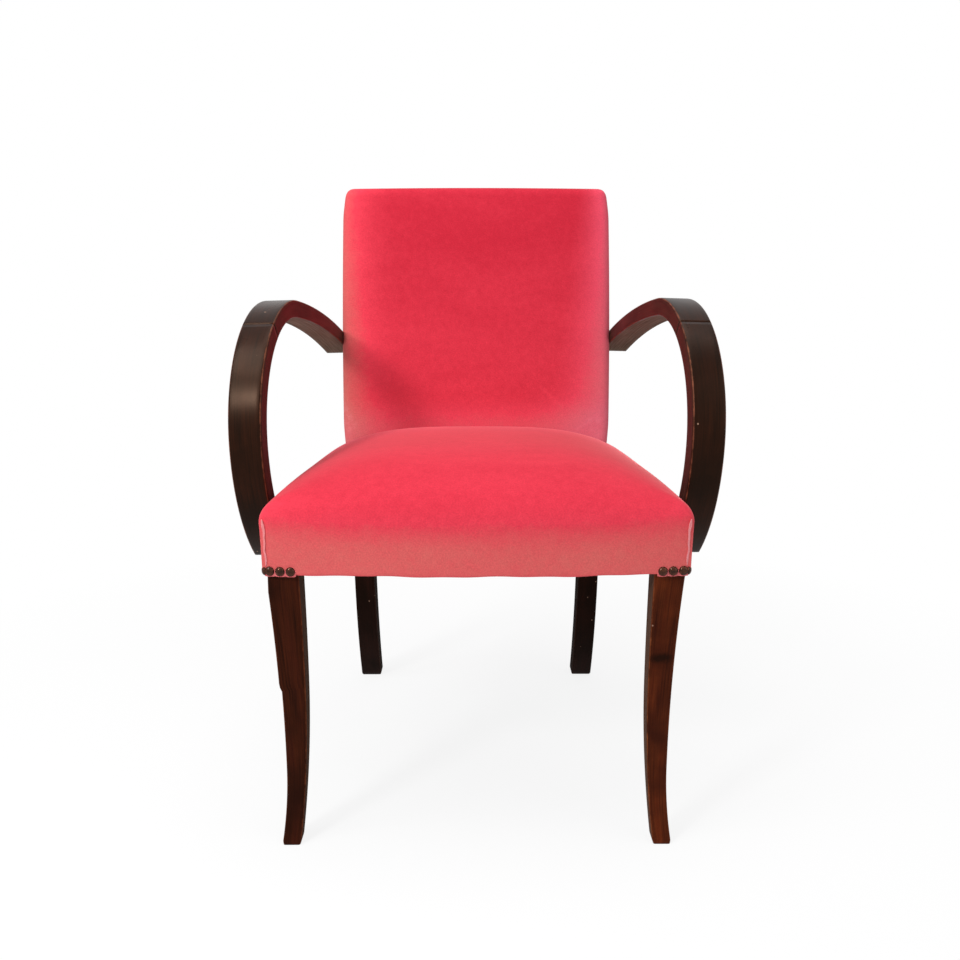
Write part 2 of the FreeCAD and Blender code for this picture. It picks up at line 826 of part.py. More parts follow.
def back_section(inset, out):
    """Front view of the back pad, its top corners rounded."""
    half = seat_rear_half + back_side_pad - inset
    low = back_pad_drop + inset
    high = back_post_length + back_top_pad - inset
    radius = back_edge_round
    bulge = radius * (1.0 - math.sqrt(0.5))

    def left(point):
        return (-point[0], point[1])

    side = (half, high - radius)
    corner = (half - bulge, high - bulge)
    top = (half - radius, high)
    foot = (half, low)
    segments = [(left(foot), foot), (foot, side), (side, corner, top), (top, left(top)),
                (left(top), left(corner), left(side)), (left(side), left(foot))]
    return face_of(segments, lambda p: V(p[0], out, p[1]))


def back_body(inset):
    """Padded back, inset from the outside of the cover, from its crowned front to behind the posts."""
    front = back_edge_round - back_pad_front
    sections = [(inset, 2.0 * post_seat_depth)]
    for angle in (0.0, 30.0, 60.0, 85.0):
        turn = math.radians(angle)
        sections.append((inset + back_edge_round * (1.0 - math.cos(turn)),
                         front + inset - back_edge_round * math.sin(turn)))
    last = sections[-1]
    sections.append((last[0] + back_crown * 2.0, last[1] - back_crown))
    wires = [back_section(grow, out).OuterWire for grow, out in sections]
    return Part.makeLoft(wires, True, True).common(back_front(inset))


def behind_posts(gap):
    """Everything behind the posts' rear faces."""
    up = back_post_length * 1.2
    rear = on_back(0, back_rear_out(up), up)
    points = [(post_rear_y + gap, 0.0), (post_rear_y + gap, knee_height), (rear.y + gap, rear.z)]
    return side_prism(points + [(far, rear.z), (far, 0.0)], -far, far)


def back_envelope(out):
    """The back frame with its straps and canvas, grown by the soft gap."""
    half = seat_rear_half + soft_gap
    return box(-half, half, out, far, -far, back_post_length + soft_gap)


def back_canvas_front():
    return -(2.0 * strap_thick + canvas_thick)


def back_stuffing(windows):
    """Stuffing in front of the canvas, with a thin wrap over the posts and the top rail."""
    pad = back_body(cover_thick + soft_gap).cut(back_envelope(back_canvas_front() - soft_gap))
    return leaning(pad).cut(behind_posts(-soft_gap)).cut(windows)


def back_cover(windows):
    """Velvet over the front, sides and top of the back, with flaps down the outside of the posts."""
    shell = back_body(0.0).cut(back_body(cover_thick))
    half = seat_rear_half + soft_gap
    hem = back_pad_drop + cover_thick + soft_gap
    shell = leaning(shell.cut(box(-half, half, back_canvas_front() - soft_gap, far, -far, hem)))
    low = rail_bottom - cover_thick
    joint = on_back(0, 0, back_pad_drop)
    behind = on_back(0, back_rear_out(back_pad_drop), back_pad_drop)
    front = seat_depth + soft_gap
    points = [(front, low), (front, knee_height), (joint.y + soft_gap, joint.z), (behind.y, behind.z)]
    points += [(post_rear_y, knee_height), (post_rear_y, low)]
    flap = side_prism(points, seat_rear_half + cover_frame_gap, seat_rear_half + back_side_pad)
    return shell.fuse(both_sides([flap])).cut(behind_posts(0.0)).cut(windows)


def outside_back_cover():
    """Velvet panel behind the posts, from the top rail to the foot of the rear rail."""
    low = rail_bottom - cover_thick
    half = seat_rear_half + back_side_pad - cover_thick
    top = on_back(0, back_rear_out(back_post_length) + soft_gap, back_post_length + back_top_pad / 2.0)
    panel = behind_posts(soft_gap).cut(behind_posts(soft_gap + cover_thick))
    trim = box(-half, half, 0, far, low, top.z)
    return panel.common(trim)


def back_straps_upright():
    """Jute straps from the lower back rail to the top rail."""
    (low, _), (_, high) = back_rail_spans()
    half = back_strap_width / 2.0
    return [leaning(box(x - half, x + half, -strap_thick, 0, low, high))
            for x in spread(back_strap_count, back_strap_pitch_x)]


def back_straps_crosswise():
    """Jute straps from post to post, lying over the upright straps."""
    end = seat_rear_half - strap_rail_inset
    edge = seat_rear_half - post_width
    points = strap_outline(end, edge)
    (_, low), (high, _) = back_rail_spans()
    straps = []
    for offset in spread(back_strap_count, back_strap_pitch_z):
        height = (low + high) / 2.0 + offset - back_strap_width / 2.0
        face = face_of(chain(points + points[:1]), lambda p: V(p[0], -strap_thick - p[1], height))
        straps.append(leaning(face.extrude(V(0, 0, back_strap_width))))
    return straps


def back_canvas():
    """Hessian over the back straps."""
    (low, _), (_, high) = back_rail_spans()
    half = seat_rear_half - strap_rail_inset
    return leaning(box(-half, half, back_canvas_front(), -2.0 * strap_thick, low, high))


# Domed nails that finish the cover at the front legs


def cover_slope():
    """How far the apron leans out for each unit of height."""
    return cover_draft / (rail_height + cover_thick + shoulder_rise)


def nail(place, outward):
    """Domed head on the cover with its shank driven into the leg."""
    radius = (nail_head_radius ** 2 + nail_head_height ** 2) / (2.0 * nail_head_height)
    base = math.degrees(math.asin((radius - nail_head_height) / radius))
    centre = place - outward * (radius - nail_head_height)
    head = Part.makeSphere(radius, centre, outward, base, 90.0, 360.0)
    return head.fuse(nail_shank(place, outward))


def nail_shank(place, outward):
    return Part.makeCylinder(nail_shank_radius, nail_shank_length, place, outward * -1.0)


def nail_places():
    """Row across the front of the right leg, carried round its outer side."""
    grow = cover_offset + cover_slope() * nail_rise + nail_stand
    corner_x = side_x(-grow) + grow * splay_slant
    bow_radius = (corner_x * corner_x + apron_bow * apron_bow) / (2.0 * apron_bow)
    bow_y = bow_radius - apron_bow - grow
    height = rail_bottom - cover_thick + nail_rise
    places = []
    for i in range(nail_count):
        x = seat_front_half - nail_head_radius - i * nail_pitch
        y = bow_y - math.sqrt(bow_radius * bow_radius - x * x)
        places.append((V(x, y, height), V(x, y - bow_y, -cover_slope() * bow_radius).normalize()))
        y = nail_head_radius + nail_head_height + i * nail_pitch
        outward = V(1, splay_slope, -cover_slope()).normalize()
        places.append((V(side_x(y) + grow * splay_slant, y, height), outward))
    return places


# Assembly


def assembly():
    """Every node by name. Pairs are made on the right and mirrored."""
    rail_pins = rail_dowel_places()
    back_pins = back_dowel_places()
    arm_pins = arm_dowel_places()
    rail_holes = bores(rail_pins, dowel_length)
    back_holes = bores(back_pins, dowel_length)
    arm_holes = bores(arm_pins, arm_dowel_length)
    nails = [nail(*place) for place in nail_places()]
    nail_holes = [nail_shank(*place) for place in nail_places()]
    rail_screws = screws(arm_rail_screw_places(), arm_screw_length)
    post_screws = screws(arm_post_screw_places(), arm_screw_length)
    corners = block_corners()
    corner_screws = [fixing for corner in corners for fixing in block_screws(corner)]
    plain_frame = [front_leg(), rear_post(), front_rail(), side_rail(), rear_rail()]
    windows = both_sides([armrest_window()])
    foot_windows = both_sides([arm_foot_land(soft_gap)] + nail_holes)
    pairs = {
        "front_leg": plain_frame[0].cut(rail_holes + nail_holes),
        "rear_post": plain_frame[1].cut(rail_holes + back_holes + post_screws),
        "side_rail": plain_frame[3].cut(rail_holes + rail_screws + corner_screws),
        "armrest": armrest().cut(arm_holes + post_screws),
        "arm_support": arm_support().cut(arm_holes + rail_screws),
        "front_corner_block": corner_block(corners[0], plain_frame).cut(corner_screws),
        "rear_corner_block": corner_block(corners[1], plain_frame).cut(corner_screws),
        "decorative_nails": Part.makeCompound(nails),
    }
    spans = back_rail_spans()
    wadding_under = cover_thick + soft_gap + wadding_thick
    nodes = {
        "front_rail": plain_frame[2].cut(both_sides(rail_holes + corner_screws)),
        "rear_rail": plain_frame[4].cut(both_sides(rail_holes + corner_screws)),
        "back_low_rail": back_rail(*spans[0]).cut(both_sides(back_holes)),
        "back_top_rail": back_rail(*spans[1]).cut(both_sides(back_holes)),
        "seat_rail_dowels": Part.makeCompound(both_sides(dowels(rail_pins, dowel_length))),
        "back_rail_dowels": Part.makeCompound(both_sides(dowels(back_pins, dowel_length))),
        "arm_joint_dowels": Part.makeCompound(both_sides(dowels(arm_pins, arm_dowel_length))),
        "arm_rail_screws": Part.makeCompound(both_sides(rail_screws)),
        "arm_post_screws": Part.makeCompound(both_sides(post_screws)),
        "corner_block_screws": Part.makeCompound(both_sides(corner_screws)),
        "seat_straps_lengthwise": Part.makeCompound(seat_straps_lengthwise()),
        "seat_straps_crosswise": Part.makeCompound(seat_straps_crosswise()),
        "seat_springs": Part.makeCompound(seat_springs()),
        "spring_canvas": spring_canvas(),
        "seat_stuffing": seat_layer(wadding_under + soft_gap, 0.0).cut(canvas_tent(-soft_gap)),
        "seat_wadding": seat_layer(cover_thick + soft_gap, wadding_under),
        "seat_cover": seat_cover(foot_windows),
        "dust_cloth": dust_cloth(),
        "back_straps_upright": Part.makeCompound(back_straps_upright()),
        "back_straps_crosswise": Part.makeCompound(back_straps_crosswise()),
        "back_canvas": back_canvas(),
        "back_stuffing": back_stuffing(windows),
        "back_cover": back_cover(windows),
        "outside_back_cover": outside_back_cover(),
    }
    for name, shape in pairs.items():
        nodes[name + "_right"] = shape
        nodes[name + "_left"] = mirrored(shape)
    return nodes


os.makedirs("parts", exist_ok=True)
for name, shape in assembly().items():
    shape.translated(V(0, -middle_y, 0)).exportStep("parts/" + name + ".step")
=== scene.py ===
import math
import bpy
import bmesh
import numpy as np
from mathutils import Matrix, Vector


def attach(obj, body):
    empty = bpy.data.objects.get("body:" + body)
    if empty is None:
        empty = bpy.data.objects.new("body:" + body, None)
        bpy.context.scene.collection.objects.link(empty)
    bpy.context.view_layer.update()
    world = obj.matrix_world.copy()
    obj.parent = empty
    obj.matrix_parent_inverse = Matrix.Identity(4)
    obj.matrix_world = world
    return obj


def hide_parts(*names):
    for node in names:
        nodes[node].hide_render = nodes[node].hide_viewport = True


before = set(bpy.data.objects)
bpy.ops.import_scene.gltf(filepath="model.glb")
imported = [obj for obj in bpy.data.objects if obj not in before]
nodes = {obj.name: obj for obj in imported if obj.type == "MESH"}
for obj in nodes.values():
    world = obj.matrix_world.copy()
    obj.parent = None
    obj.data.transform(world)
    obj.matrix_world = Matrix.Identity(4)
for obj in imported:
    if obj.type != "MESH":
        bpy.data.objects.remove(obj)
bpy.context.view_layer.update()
scene = bpy.context.scene
scene.view_settings.view_transform = "Standard"


# Camera at the photograph's viewpoint: standing in front of the chair, a little above
# seat height, looking slightly down.
def stand(name, data):
    """Puts a new object with the given data into the scene."""
    made = bpy.data.objects.new(name, data)
    scene.collection.objects.link(made)
    return made


eye = stand("camera", bpy.data.cameras.new("camera"))
eye.data.lens = 37.19
eye.data.sensor_width = 36.0
eye.location = (-0.0018, -1.3604, 0.6698)
eye.rotation_euler = (math.pi / 2 - 0.198, 0.0, -0.005)
scene.camera = eye


# Studio: a white room with a small bright light high on the left, a window light nearer the chair
# on the same side, a weak broad light on the right and one overhead. The floor is matt white paper,
# which shows no edge against the room and keeps the shadow under the feet.
def linear(code, alpha=1.0):
    """sRGB hex to the linear colour that the sockets take."""
    parts = [int(code[i:i + 2], 16) / 255.0 for i in (1, 3, 5)]
    return tuple(c / 12.92 if c <= 0.04045 else ((c + 0.055) / 1.055) ** 2.4 for c in parts) + (alpha,)


def add(tree, kind, inputs=None, **settings):
    """Adds a node, sets it, and sets or links its inputs by name or number. A shader node goes by the end
    of its type's name, and a node given as an input stands for its first output."""
    made = tree.nodes.new(kind if "Node" in kind else "ShaderNode" + kind)
    for key, value in settings.items():
        setattr(made, key, value)
    for key, value in (inputs or {}).items():
        if isinstance(value, bpy.types.Node):
            value = value.outputs[0]
        if isinstance(value, bpy.types.NodeSocket):
            tree.links.new(value, made.inputs[key])
        else:
            made.inputs[key].default_value = value
    return made


def new_finish(name):
    """An empty material, its nodes, and the place on the object that its patterns follow."""
    made = bpy.data.materials.new(name)
    made.use_nodes = True
    tree = made.node_tree
    tree.nodes.clear()
    return made, tree, add(tree, "TexCoord").outputs["Object"]


def soft_light(name, place, aim, size, power):
    """Square lamp of the given size in metres, turned to what it lights."""
    lamp = bpy.data.lights.new(name, "AREA")
    lamp.shape = "SQUARE"
    lamp.size = size
    lamp.energy = power
    holder = stand(name, lamp)
    holder.location = place
    holder.rotation_euler = (Vector(aim) - Vector(place)).to_track_quat("-Z", "Y").to_euler()


def seen_by(tree, *kinds):
    """1 where one of the given kinds of ray sees the surface."""
    ray = add(tree, "LightPath")
    seen = ray.outputs[kinds[0]]
    for kind in kinds[1:]:
        seen = add(tree, "Math", {0: seen, 1: ray.outputs[kind]}, operation="MAXIMUM")
    return seen


soft_light("key_light", (-1.35, -1.8, 1.75), (0.0, 0.0, 0.45), 0.4, 31.0)
soft_light("window_light", (-0.9, -0.7, 2.0), (0.0, 0.0, 0.45), 0.7, 14.0)
soft_light("fill_light", (1.9, -1.3, 1.5), (0.0, 0.0, 0.45), 1.8, 10.0)
soft_light("top_light", (0.1, -0.1, 2.6), (0.0, 0.0, 0.4), 1.6, 25.0)

room = bpy.data.worlds.new("white_room")
room.use_nodes = True
tree = room.node_tree
tree.nodes.clear()
seen = seen_by(tree, "Is Camera Ray", "Is Glossy Ray", "Is Transmission Ray")
dim = add(tree, "Background", {"Color": linear("#F4F5F8"), "Strength": 0.32})
white = add(tree, "Background", {"Color": linear("#FFFFFF"), "Strength": 1.0})
sky = add(tree, "MixShader", {0: seen, 1: dim, 2: white})
add(tree, "OutputWorld", {"Surface": sky})
scene.world = room

FLOOR_HALF = 6.0
floor_mesh = bpy.data.meshes.new("floor")
floor_mesh.from_pydata([(FLOOR_HALF * x, FLOOR_HALF * y, 0) for x, y in ((-1, -1), (1, -1), (1, 1), (-1, 1))],
                       [], [(0, 1, 2, 3)])
floor = stand("floor", floor_mesh)
paper, tree, place = new_finish("white_paper_floor")
matt = add(tree, "BsdfDiffuse", {"Color": linear("#F2F2F2")})
glow = add(tree, "Emission", {"Color": linear("#FFFFFF"), "Strength": 1.0})
away = add(tree, "VectorMath", {0: place}, operation="LENGTH").outputs["Value"]
fade = add(tree, "MapRange", {0: away, 1: 0.35, 2: 1.2, 3: 0.86, 4: 1.0})
watched = seen_by(tree, "Is Camera Ray", "Is Glossy Ray")
share = add(tree, "Math", {0: watched, 1: fade}, operation="MULTIPLY")
sheet = add(tree, "MixShader", {0: share, 1: matt, 2: glow})
add(tree, "OutputMaterial", {"Surface": sheet})
floor.data.materials.append(paper)


# Sawn and planed timber: every wooden stick is a row of four-cornered sections with eased
# arrises. The edge attribute marks the arrises, where stain and varnish have rubbed off, and the
# UV map runs along the stick in metres, so that the grain follows it.
MM = 0.001
CENTRE_Y = 273.0
ARRIS_TURNS, ARRIS_WEAR = (0.0, 22.5, 45.0, 67.5, 90.0), (0.45, 0.85, 1.0, 0.85, 0.45)
FLAT_START = 2.6
END_INSET, END_WEAR = 0.82, 0.15


def in_metres(points):
    """Millimetres of the part to metres about the chair's middle."""
    return [(x * MM, (y - CENTRE_Y) * MM, z * MM) for x, y, z in points]


def stick(sections, ease, side=1, raw_sides=()):
    """Mesh data of a stick from sections in millimetres, mirrored where side is -1: points, faces, edge
    wear, UV by face corner, and how bare each point is. A raw side is its number and its bareness."""
    points, worn, around, along, bare = [], [], [], [], []
    rawness = dict(raw_sides)
    run, last = 0.0, None
    for section in sections:
        corners = [Vector((side * x, y, z)) for x, y, z in section]
        middle = sum(corners, Vector()) / 4.0
        run += (middle - last).length if last is not None else 0.0
        last = middle
        ring = []
        for i in range(4):
            here, before, after = corners[i], corners[i - 1], corners[(i + 1) % 4]
            back, ahead = (before - here).normalized(), (after - here).normalized()
            hub = here + (back + ahead) * ease
            ring.append((here + back * ease * FLAT_START, 0.0))
            for turn, rub in zip(ARRIS_TURNS, ARRIS_WEAR):
                a = math.radians(turn)
                ring.append((hub - (ahead * math.cos(a) + back * math.sin(a)) * ease, rub))
            ring.append((here + ahead * ease * FLAT_START, 0.0))
            bare += [rawness.get((i - 1) % 4, 0.0)] * 2 + [0.0] * 3 + [rawness.get(i, 0.0)] * 2
        girth = 0.0
        for i, (point, rub) in enumerate(ring):
            girth += (point - ring[i - 1][0]).length if i else 0.0
            points.append(point)
            worn.append(rub)
            around.append(girth)
            along.append(run)
    n = len(points) // len(sections)
    order = -1 if side > 0 else 1
    faces, uvs = [], []
    for s in range(len(sections) - 1):
        low, high = s * n, (s + 1) * n
        seam = around[high - 1] + (points[low] - points[high - 1]).length
        for i in range(n):
            j = (i + 1) % n
            near, far = around[low + i], around[low + j] if j else seam
            corners = ((near, along[low]), (far, along[low]), (far, along[high]), (near, along[high]))
            faces.append([low + i, low + j, high + j, high + i][::order])
            uvs.append([(u * MM, v * MM) for u, v in corners][::order])
    for start, first in ((0, True), (len(points) - n, False)):
        ring = list(range(start, start + n))
        middle = sum((points[i] for i in ring), Vector()) / n
        inner = list(range(len(points), len(points) + n))
        points += [middle + (points[i] - middle) * END_INSET for i in ring]
        worn += [END_WEAR] * n
        bare += [0.0] * n
        caps = [[ring[i], ring[(i + 1) % n], inner[(i + 1) % n], inner[i]] for i in range(n)] + [inner]
        for cap in caps:
            ordered = cap if first == (side > 0) else cap[::-1]
            faces.append(ordered)
            uvs.append([(points[i].x * MM, points[i].y * MM) for i in ordered])
    return points, faces, worn, uvs, bare


def timber(name, parts, material):
    """One wooden piece from the mesh data of its sticks, moved to the chair's middle."""
    mesh = bpy.data.meshes.new(name)
    points, faces, worn, uvs, bare = [], [], [], [], []
    for part in parts:
        start = len(points)
        points += in_metres(part[0])
        faces += [[i + start for i in face] for face in part[1]]
        worn += part[2]
        uvs += part[3]
        bare += part[4]
    mesh.from_pydata(points, [], faces)
    mesh.update()
    mesh.attributes.new("edge", "FLOAT", "POINT").data.foreach_set("value", worn)
    mesh.attributes.new("bare", "FLOAT", "POINT").data.foreach_set("value", bare)
    layer = mesh.uv_layers.new(name="grain")
    layer.data.foreach_set("uv", [c for face in uvs for pair in face for c in pair])
    mesh.polygons.foreach_set("use_smooth", [len(f) == 4 for f in faces])
    mesh.materials.append(material)
    outward = bmesh.new()
    outward.from_mesh(mesh)
    bmesh.ops.recalc_face_normals(outward, faces=outward.faces)
    outward.to_mesh(mesh)
    outward.free()
    return stand(name, mesh)


# Stained and varnished timber: straight grain along the UV map, blotches of stain about 60 mm wide,
# rubbed arrises, small pale dents and a satin varnish that glows warm. The real grain lines are under
# 1 mm apart and are drawn 1.8 mm apart so that they show.
GRAIN_LINE, GRAIN_BAND = (1 / 0.0018, 1 / 0.075, 1.0), (1 / 0.011, 1 / 0.16, 1.0)


def varnished(name, dark, mid, light, rub, gloss, shine, raw, knot=None):
    """Stain in three tones with its rubbed and raw colours. Gloss is the roughness, shine the specular
    level, and a knot has its place and its reach."""
    made, tree, place = new_finish(name)
    uv = add(tree, "UVMap", uv_map="grain")
    fine = add(tree, "Mapping", {"Vector": uv, "Scale": GRAIN_LINE})
    fine = add(tree, "TexNoise", {"Vector": fine, "Scale": 1.0, "Detail": 5.0, "Roughness": 0.62})
    wide = add(tree, "Mapping", {"Vector": uv, "Scale": GRAIN_BAND})
    wide = add(tree, "TexNoise", {"Vector": wide, "Scale": 1.0, "Detail": 3.0, "Distortion": 0.6})
    blotch = add(tree, "TexNoise", {"Vector": place, "Scale": 16.0, "Detail": 3.0})
    lines = add(tree, "MapRange", {0: fine, 1: 0.34, 2: 0.7})
    bands = add(tree, "MapRange", {0: wide, 1: 0.34, 2: 0.68})
    body = add(tree, "Mix", {0: bands, 6: linear(dark), 7: linear(mid)}, data_type="RGBA").outputs[2]
    layers = []
    some = add(tree, "Math", {0: lines, 1: 0.6}, operation="MULTIPLY")
    layers.append((some, linear(light)))
    patch = add(tree, "MapRange", {0: blotch, 1: 0.42, 2: 0.66, 3: 0.0, 4: 0.8})
    layers.append((patch, linear(dark)))
    edge = add(tree, "Attribute", attribute_name="edge").outputs["Fac"]
    chip = add(tree, "TexNoise", {"Vector": place, "Scale": 70.0, "Detail": 6.0, "Roughness": 0.7})
    chance = add(tree, "Math", {0: chip, 1: 0.9, 2: 0.45}, operation="MULTIPLY_ADD")
    worn = add(tree, "Math", {0: chance, 1: edge}, operation="MULTIPLY")
    worn = add(tree, "MapRange", {0: worn, 1: 0.7, 2: 1.05, 3: 0.0, 4: 0.75})
    layers.append((worn, linear(rub)))
    if knot:
        at, reach = knot
        near = add(tree, "Mapping", {"Vector": place, "Scale": tuple(1 / r for r in reach),
                                     "Location": tuple(-a / r for a, r in zip(at, reach))})
        swirl = add(tree, "Mix", {0: 0.55, 6: near, 7: chip.outputs["Color"]},
                    data_type="RGBA", blend_type="LINEAR_LIGHT").outputs[2]
        far = add(tree, "VectorMath", {0: swirl}, operation="LENGTH").outputs["Value"]
        hard = add(tree, "MapRange", {0: far, 1: 0.4, 2: 1.15, 3: 0.9, 4: 0.0})
        layers.append((hard, linear("#150704")))
    dents = add(tree, "TexVoronoi", {"Vector": place, "Scale": 42.0}).outputs["Distance"]
    fleck = add(tree, "MapRange", {0: dents, 1: 0.03, 2: 0.055, 3: 0.75, 4: 0.0})
    layers.append((fleck, linear("#A98570")))
    bare = add(tree, "Attribute", attribute_name="bare").outputs["Fac"]
    plain = add(tree, "Mix", {0: lines, 6: linear(raw[0]), 7: linear(raw[1])}, data_type="RGBA").outputs[2]
    part = add(tree, "Math", {0: bare, 1: 0.85}, operation="MULTIPLY")
    layers.append((part, plain))
    for share, colour in layers:
        body = add(tree, "Mix", {0: share, 6: body, 7: colour}, data_type="RGBA").outputs[2]
    dull = add(tree, "MapRange", {0: blotch, 1: 0.3, 2: 0.7, 3: gloss - 0.04, 4: gloss + 0.08})
    rough = add(tree, "Math", {0: worn, 1: 0.3, 2: dull}, operation="MULTIPLY_ADD")
    rough = add(tree, "Math", {0: bare, 1: 0.5, 2: rough}, operation="MULTIPLY_ADD", use_clamp=True)
    bump = add(tree, "Bump", {"Height": fine, "Strength": 0.05, "Distance": 0.0004})
    shell = add(tree, "BsdfPrincipled", {"Base Color": body, "Roughness": rough, "IOR": 1.5, "Normal": bump,
                                         "Specular IOR Level": shine, "Specular Tint": linear("#FFD0B0")})
    add(tree, "OutputMaterial", {"Surface": shell})
    return made


# Front legs: sabre legs of stained hardwood, sawn with one template on the front and on the side,
# their inner faces left bare. The right one has a knot, and the left one an old repair, a small step
# in its outer edge at mid height.
LEG_FACE, POST_FACE, POST_FRONT = 239.0, 200.0, 442.0
SPLAY = (LEG_FACE - POST_FACE) / POST_FRONT
LEG_TOP, LEG_CUT, ANKLE, CALF = 345.0, 400.0, 95.0, 200.0
OUTER_TOP, OUTER_ANKLE, OUTER_TOE = 0.0, 11.5, 3.5
INNER_TOP, INNER_CALF, INNER_TOE = 36.0, 37.6, 26.0
LEG_FULLNESS, TOE_PINCH = 0.83, 1.2
REPAIR_Z, REPAIR_STEP = 197.0, 2.6
KNOT = ((0.216, -0.262, 0.237), (0.016, 0.03, 0.0075))
leg_stain = {1: varnished("stained_hardwood_leg", "#2A0D07", "#521E0D", "#6C3116", "#8A4A28", 0.45, 0.07,
                          ("#463026", "#6A5144"), KNOT),
             -1: varnished("stained_hardwood_dark_leg", "#1C0905", "#32110A", "#4A1F0E", "#7A4024",
                           0.45, 0.06, ("#38251C", "#574236"))}


def bow(z, still, at, end, end_z):
    """Arc from end at end_z that stands upright at the height still, where it is at."""
    across, rise = end - at, end_z - still
    radius = (across * across + rise * rise) / (2.0 * abs(across))
    return at + math.copysign(radius - math.sqrt(radius * radius - (z - still) ** 2), across)


def clipped(value):
    """Holds a share between 0 and 1."""
    return min(1.0, max(0.0, value))


def leg_sections(step):
    """Sections of the right leg from the toe up, with a step in the outer edge above the repair."""
    rows = []
    for z in np.concatenate([[0.0, 2.0, 5.0], np.linspace(10.0, LEG_TOP, 68), [372.0, LEG_CUT]]):
        h = min(z, LEG_TOP)
        if h > ANKLE:
            outer = bow(h, ANKLE, OUTER_ANKLE, OUTER_TOP, LEG_TOP)
        else:
            outer = bow(h, ANKLE, OUTER_ANKLE, OUTER_TOE, 0.0)
        if h > CALF:
            inner = bow(h, CALF, INNER_CALF, INNER_TOP, LEG_TOP)
        else:
            inner = bow(h, CALF, INNER_CALF, INNER_TOE, 0.0)
        pinch = TOE_PINCH * max(0.0, 1.0 - z / 4.0)
        out = LEG_FULLNESS * outer - step * clipped((z - REPAIR_Z) / 4.0) * clipped((LEG_TOP - z) / 25.0)
        x0, x1, y0, y1 = LEG_FACE - out - pinch, LEG_FACE - inner + pinch, outer + pinch, inner - pinch
        rows.append([(x0 - SPLAY * y0, y0, z), (x1, y0, z), (x1, y1, z), (x0 - SPLAY * y1, y1, z)])
    return rows


for side, name, step in ((1, "front_leg_right", 0.0), (-1, "front_leg_left", REPAIR_STEP)):
    leg = timber(name + "_sawn", [stick(leg_sections(step), 2.2, side, [(1, 1.0)])], leg_stain[side])
    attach(leg, "root")
    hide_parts(name)


# Rear posts: each is one plank of hardwood from the raked foot to the top of the back, stained
# darker than the front legs. Only the part below the seat shows.
post_stain = varnished("stained_post_hardwood", "#0E0604", "#1B0B08", "#2A120C", "#402014", 0.5, 0.05,
                       ("#140A07", "#20110B"))
LEAN = math.radians(10.5)
POST_INNER, POST_REAR, FOOT_FRONT, FOOT_REAR = 165.0, 484.0, 535.0, 568.0
KNEE, POST_SPLICE, BACK_FOOT = 330.0, 398.0, 402.0
POST_LONG, POST_THIN = 404.0, 26.0


def on_back(out, up):
    """Point of the leaning back, as y and z in millimetres."""
    return (POST_FRONT + up * math.sin(LEAN) + out * math.cos(LEAN),
            BACK_FOOT + up * math.cos(LEAN) - out * math.sin(LEAN))


def post_depth(up):
    """Depth of the post, which thins towards the top of the back."""
    knee_out = (POST_REAR - POST_FRONT) * math.cos(LEAN)
    knee_up = (POST_REAR - POST_FRONT) * math.sin(LEAN)
    return knee_out + (POST_THIN - knee_out) * (up - knee_up) / (POST_LONG - knee_up)


def post_sections():
    """Sections of the right post from the foot up, a little narrower outside below the seat."""
    rows = []
    for z in np.concatenate([[0.0, 3.0], np.linspace(8.0, KNEE, 42), [360.0, POST_SPLICE]]):
        h = min(z, KNEE)
        front = bow(h, KNEE, POST_FRONT, FOOT_FRONT, 0.0)
        rear = bow(h, KNEE, POST_REAR, FOOT_REAR, 0.0)
        pinch = TOE_PINCH * max(0.0, 1.0 - z / 3.0)
        face = POST_FACE - (2.0 + 2.0 * h / KNEE) * min(1.0, (POST_SPLICE - z) / 60.0) - pinch
        rows.append([(face, front + pinch, z), (POST_INNER + pinch, front + pinch, z),
                     (POST_INNER + pinch, rear - pinch, z), (face, rear - pinch, z)])
    for up in (14.0, 140.0, 270.0, POST_LONG):
        (y0, z0), (y1, z1) = on_back(0.0, up), on_back(post_depth(up), up)
        rows.append([(POST_FACE, y0, z0), (POST_INNER, y0, z0), (POST_INNER, y1, z1), (POST_FACE, y1, z1)])
    return rows


for side, name in ((1, "rear_post_right"), (-1, "rear_post_left")):
    post = timber(name + "_sawn", [stick(post_sections(), 2.0, side, [(1, 1.0)])], post_stain)
    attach(post, "root")
    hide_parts(name)


# Hidden frame: rails, corner blocks and dowels of planed beech, glued and screwed together and
# covered by the upholstery. Pale, matt and streaked with the grain. They stay as built.
def plain_grain(name, base, streak, scale, rough):
    """Unfinished material in two tones with streaks, for what the covers hide."""
    made, tree, place = new_finish(name)
    spread = add(tree, "Mapping", {"Vector": place, "Scale": scale})
    grain = add(tree, "TexNoise", {"Vector": spread, "Scale": 1.0, "Detail": 4.0})
    tone = add(tree, "MapRange", {0: grain, 1: 0.35, 2: 0.65})
    body = add(tree, "Mix", {0: tone, 6: linear(base), 7: linear(streak)}, data_type="RGBA").outputs[2]
    bump = add(tree, "Bump", {"Height": grain, "Strength": 0.2, "Distance": 0.001})
    shell = add(tree, "BsdfPrincipled", {"Base Color": body, "Roughness": rough, "Normal": bump})
    add(tree, "OutputMaterial", {"Surface": shell})
    return made


def finish_nodes(material, *names):
    """Gives one material to pieces that stay as built."""
    for name in names:
        mesh = nodes[name].data
        mesh.materials.clear()
        mesh.materials.append(material)


beech = plain_grain("planed_beech", "#C79A6B", "#A97B4C", (30.0, 30.0, 400.0), 0.6)
finish_nodes(beech, "front_rail", "rear_rail", "side_rail_left", "side_rail_right", "back_top_rail",
             "back_low_rail", "front_corner_block_left", "front_corner_block_right", "rear_corner_block_left",
             "rear_corner_block_right", "seat_rail_dowels", "back_rail_dowels", "arm_joint_dowels")


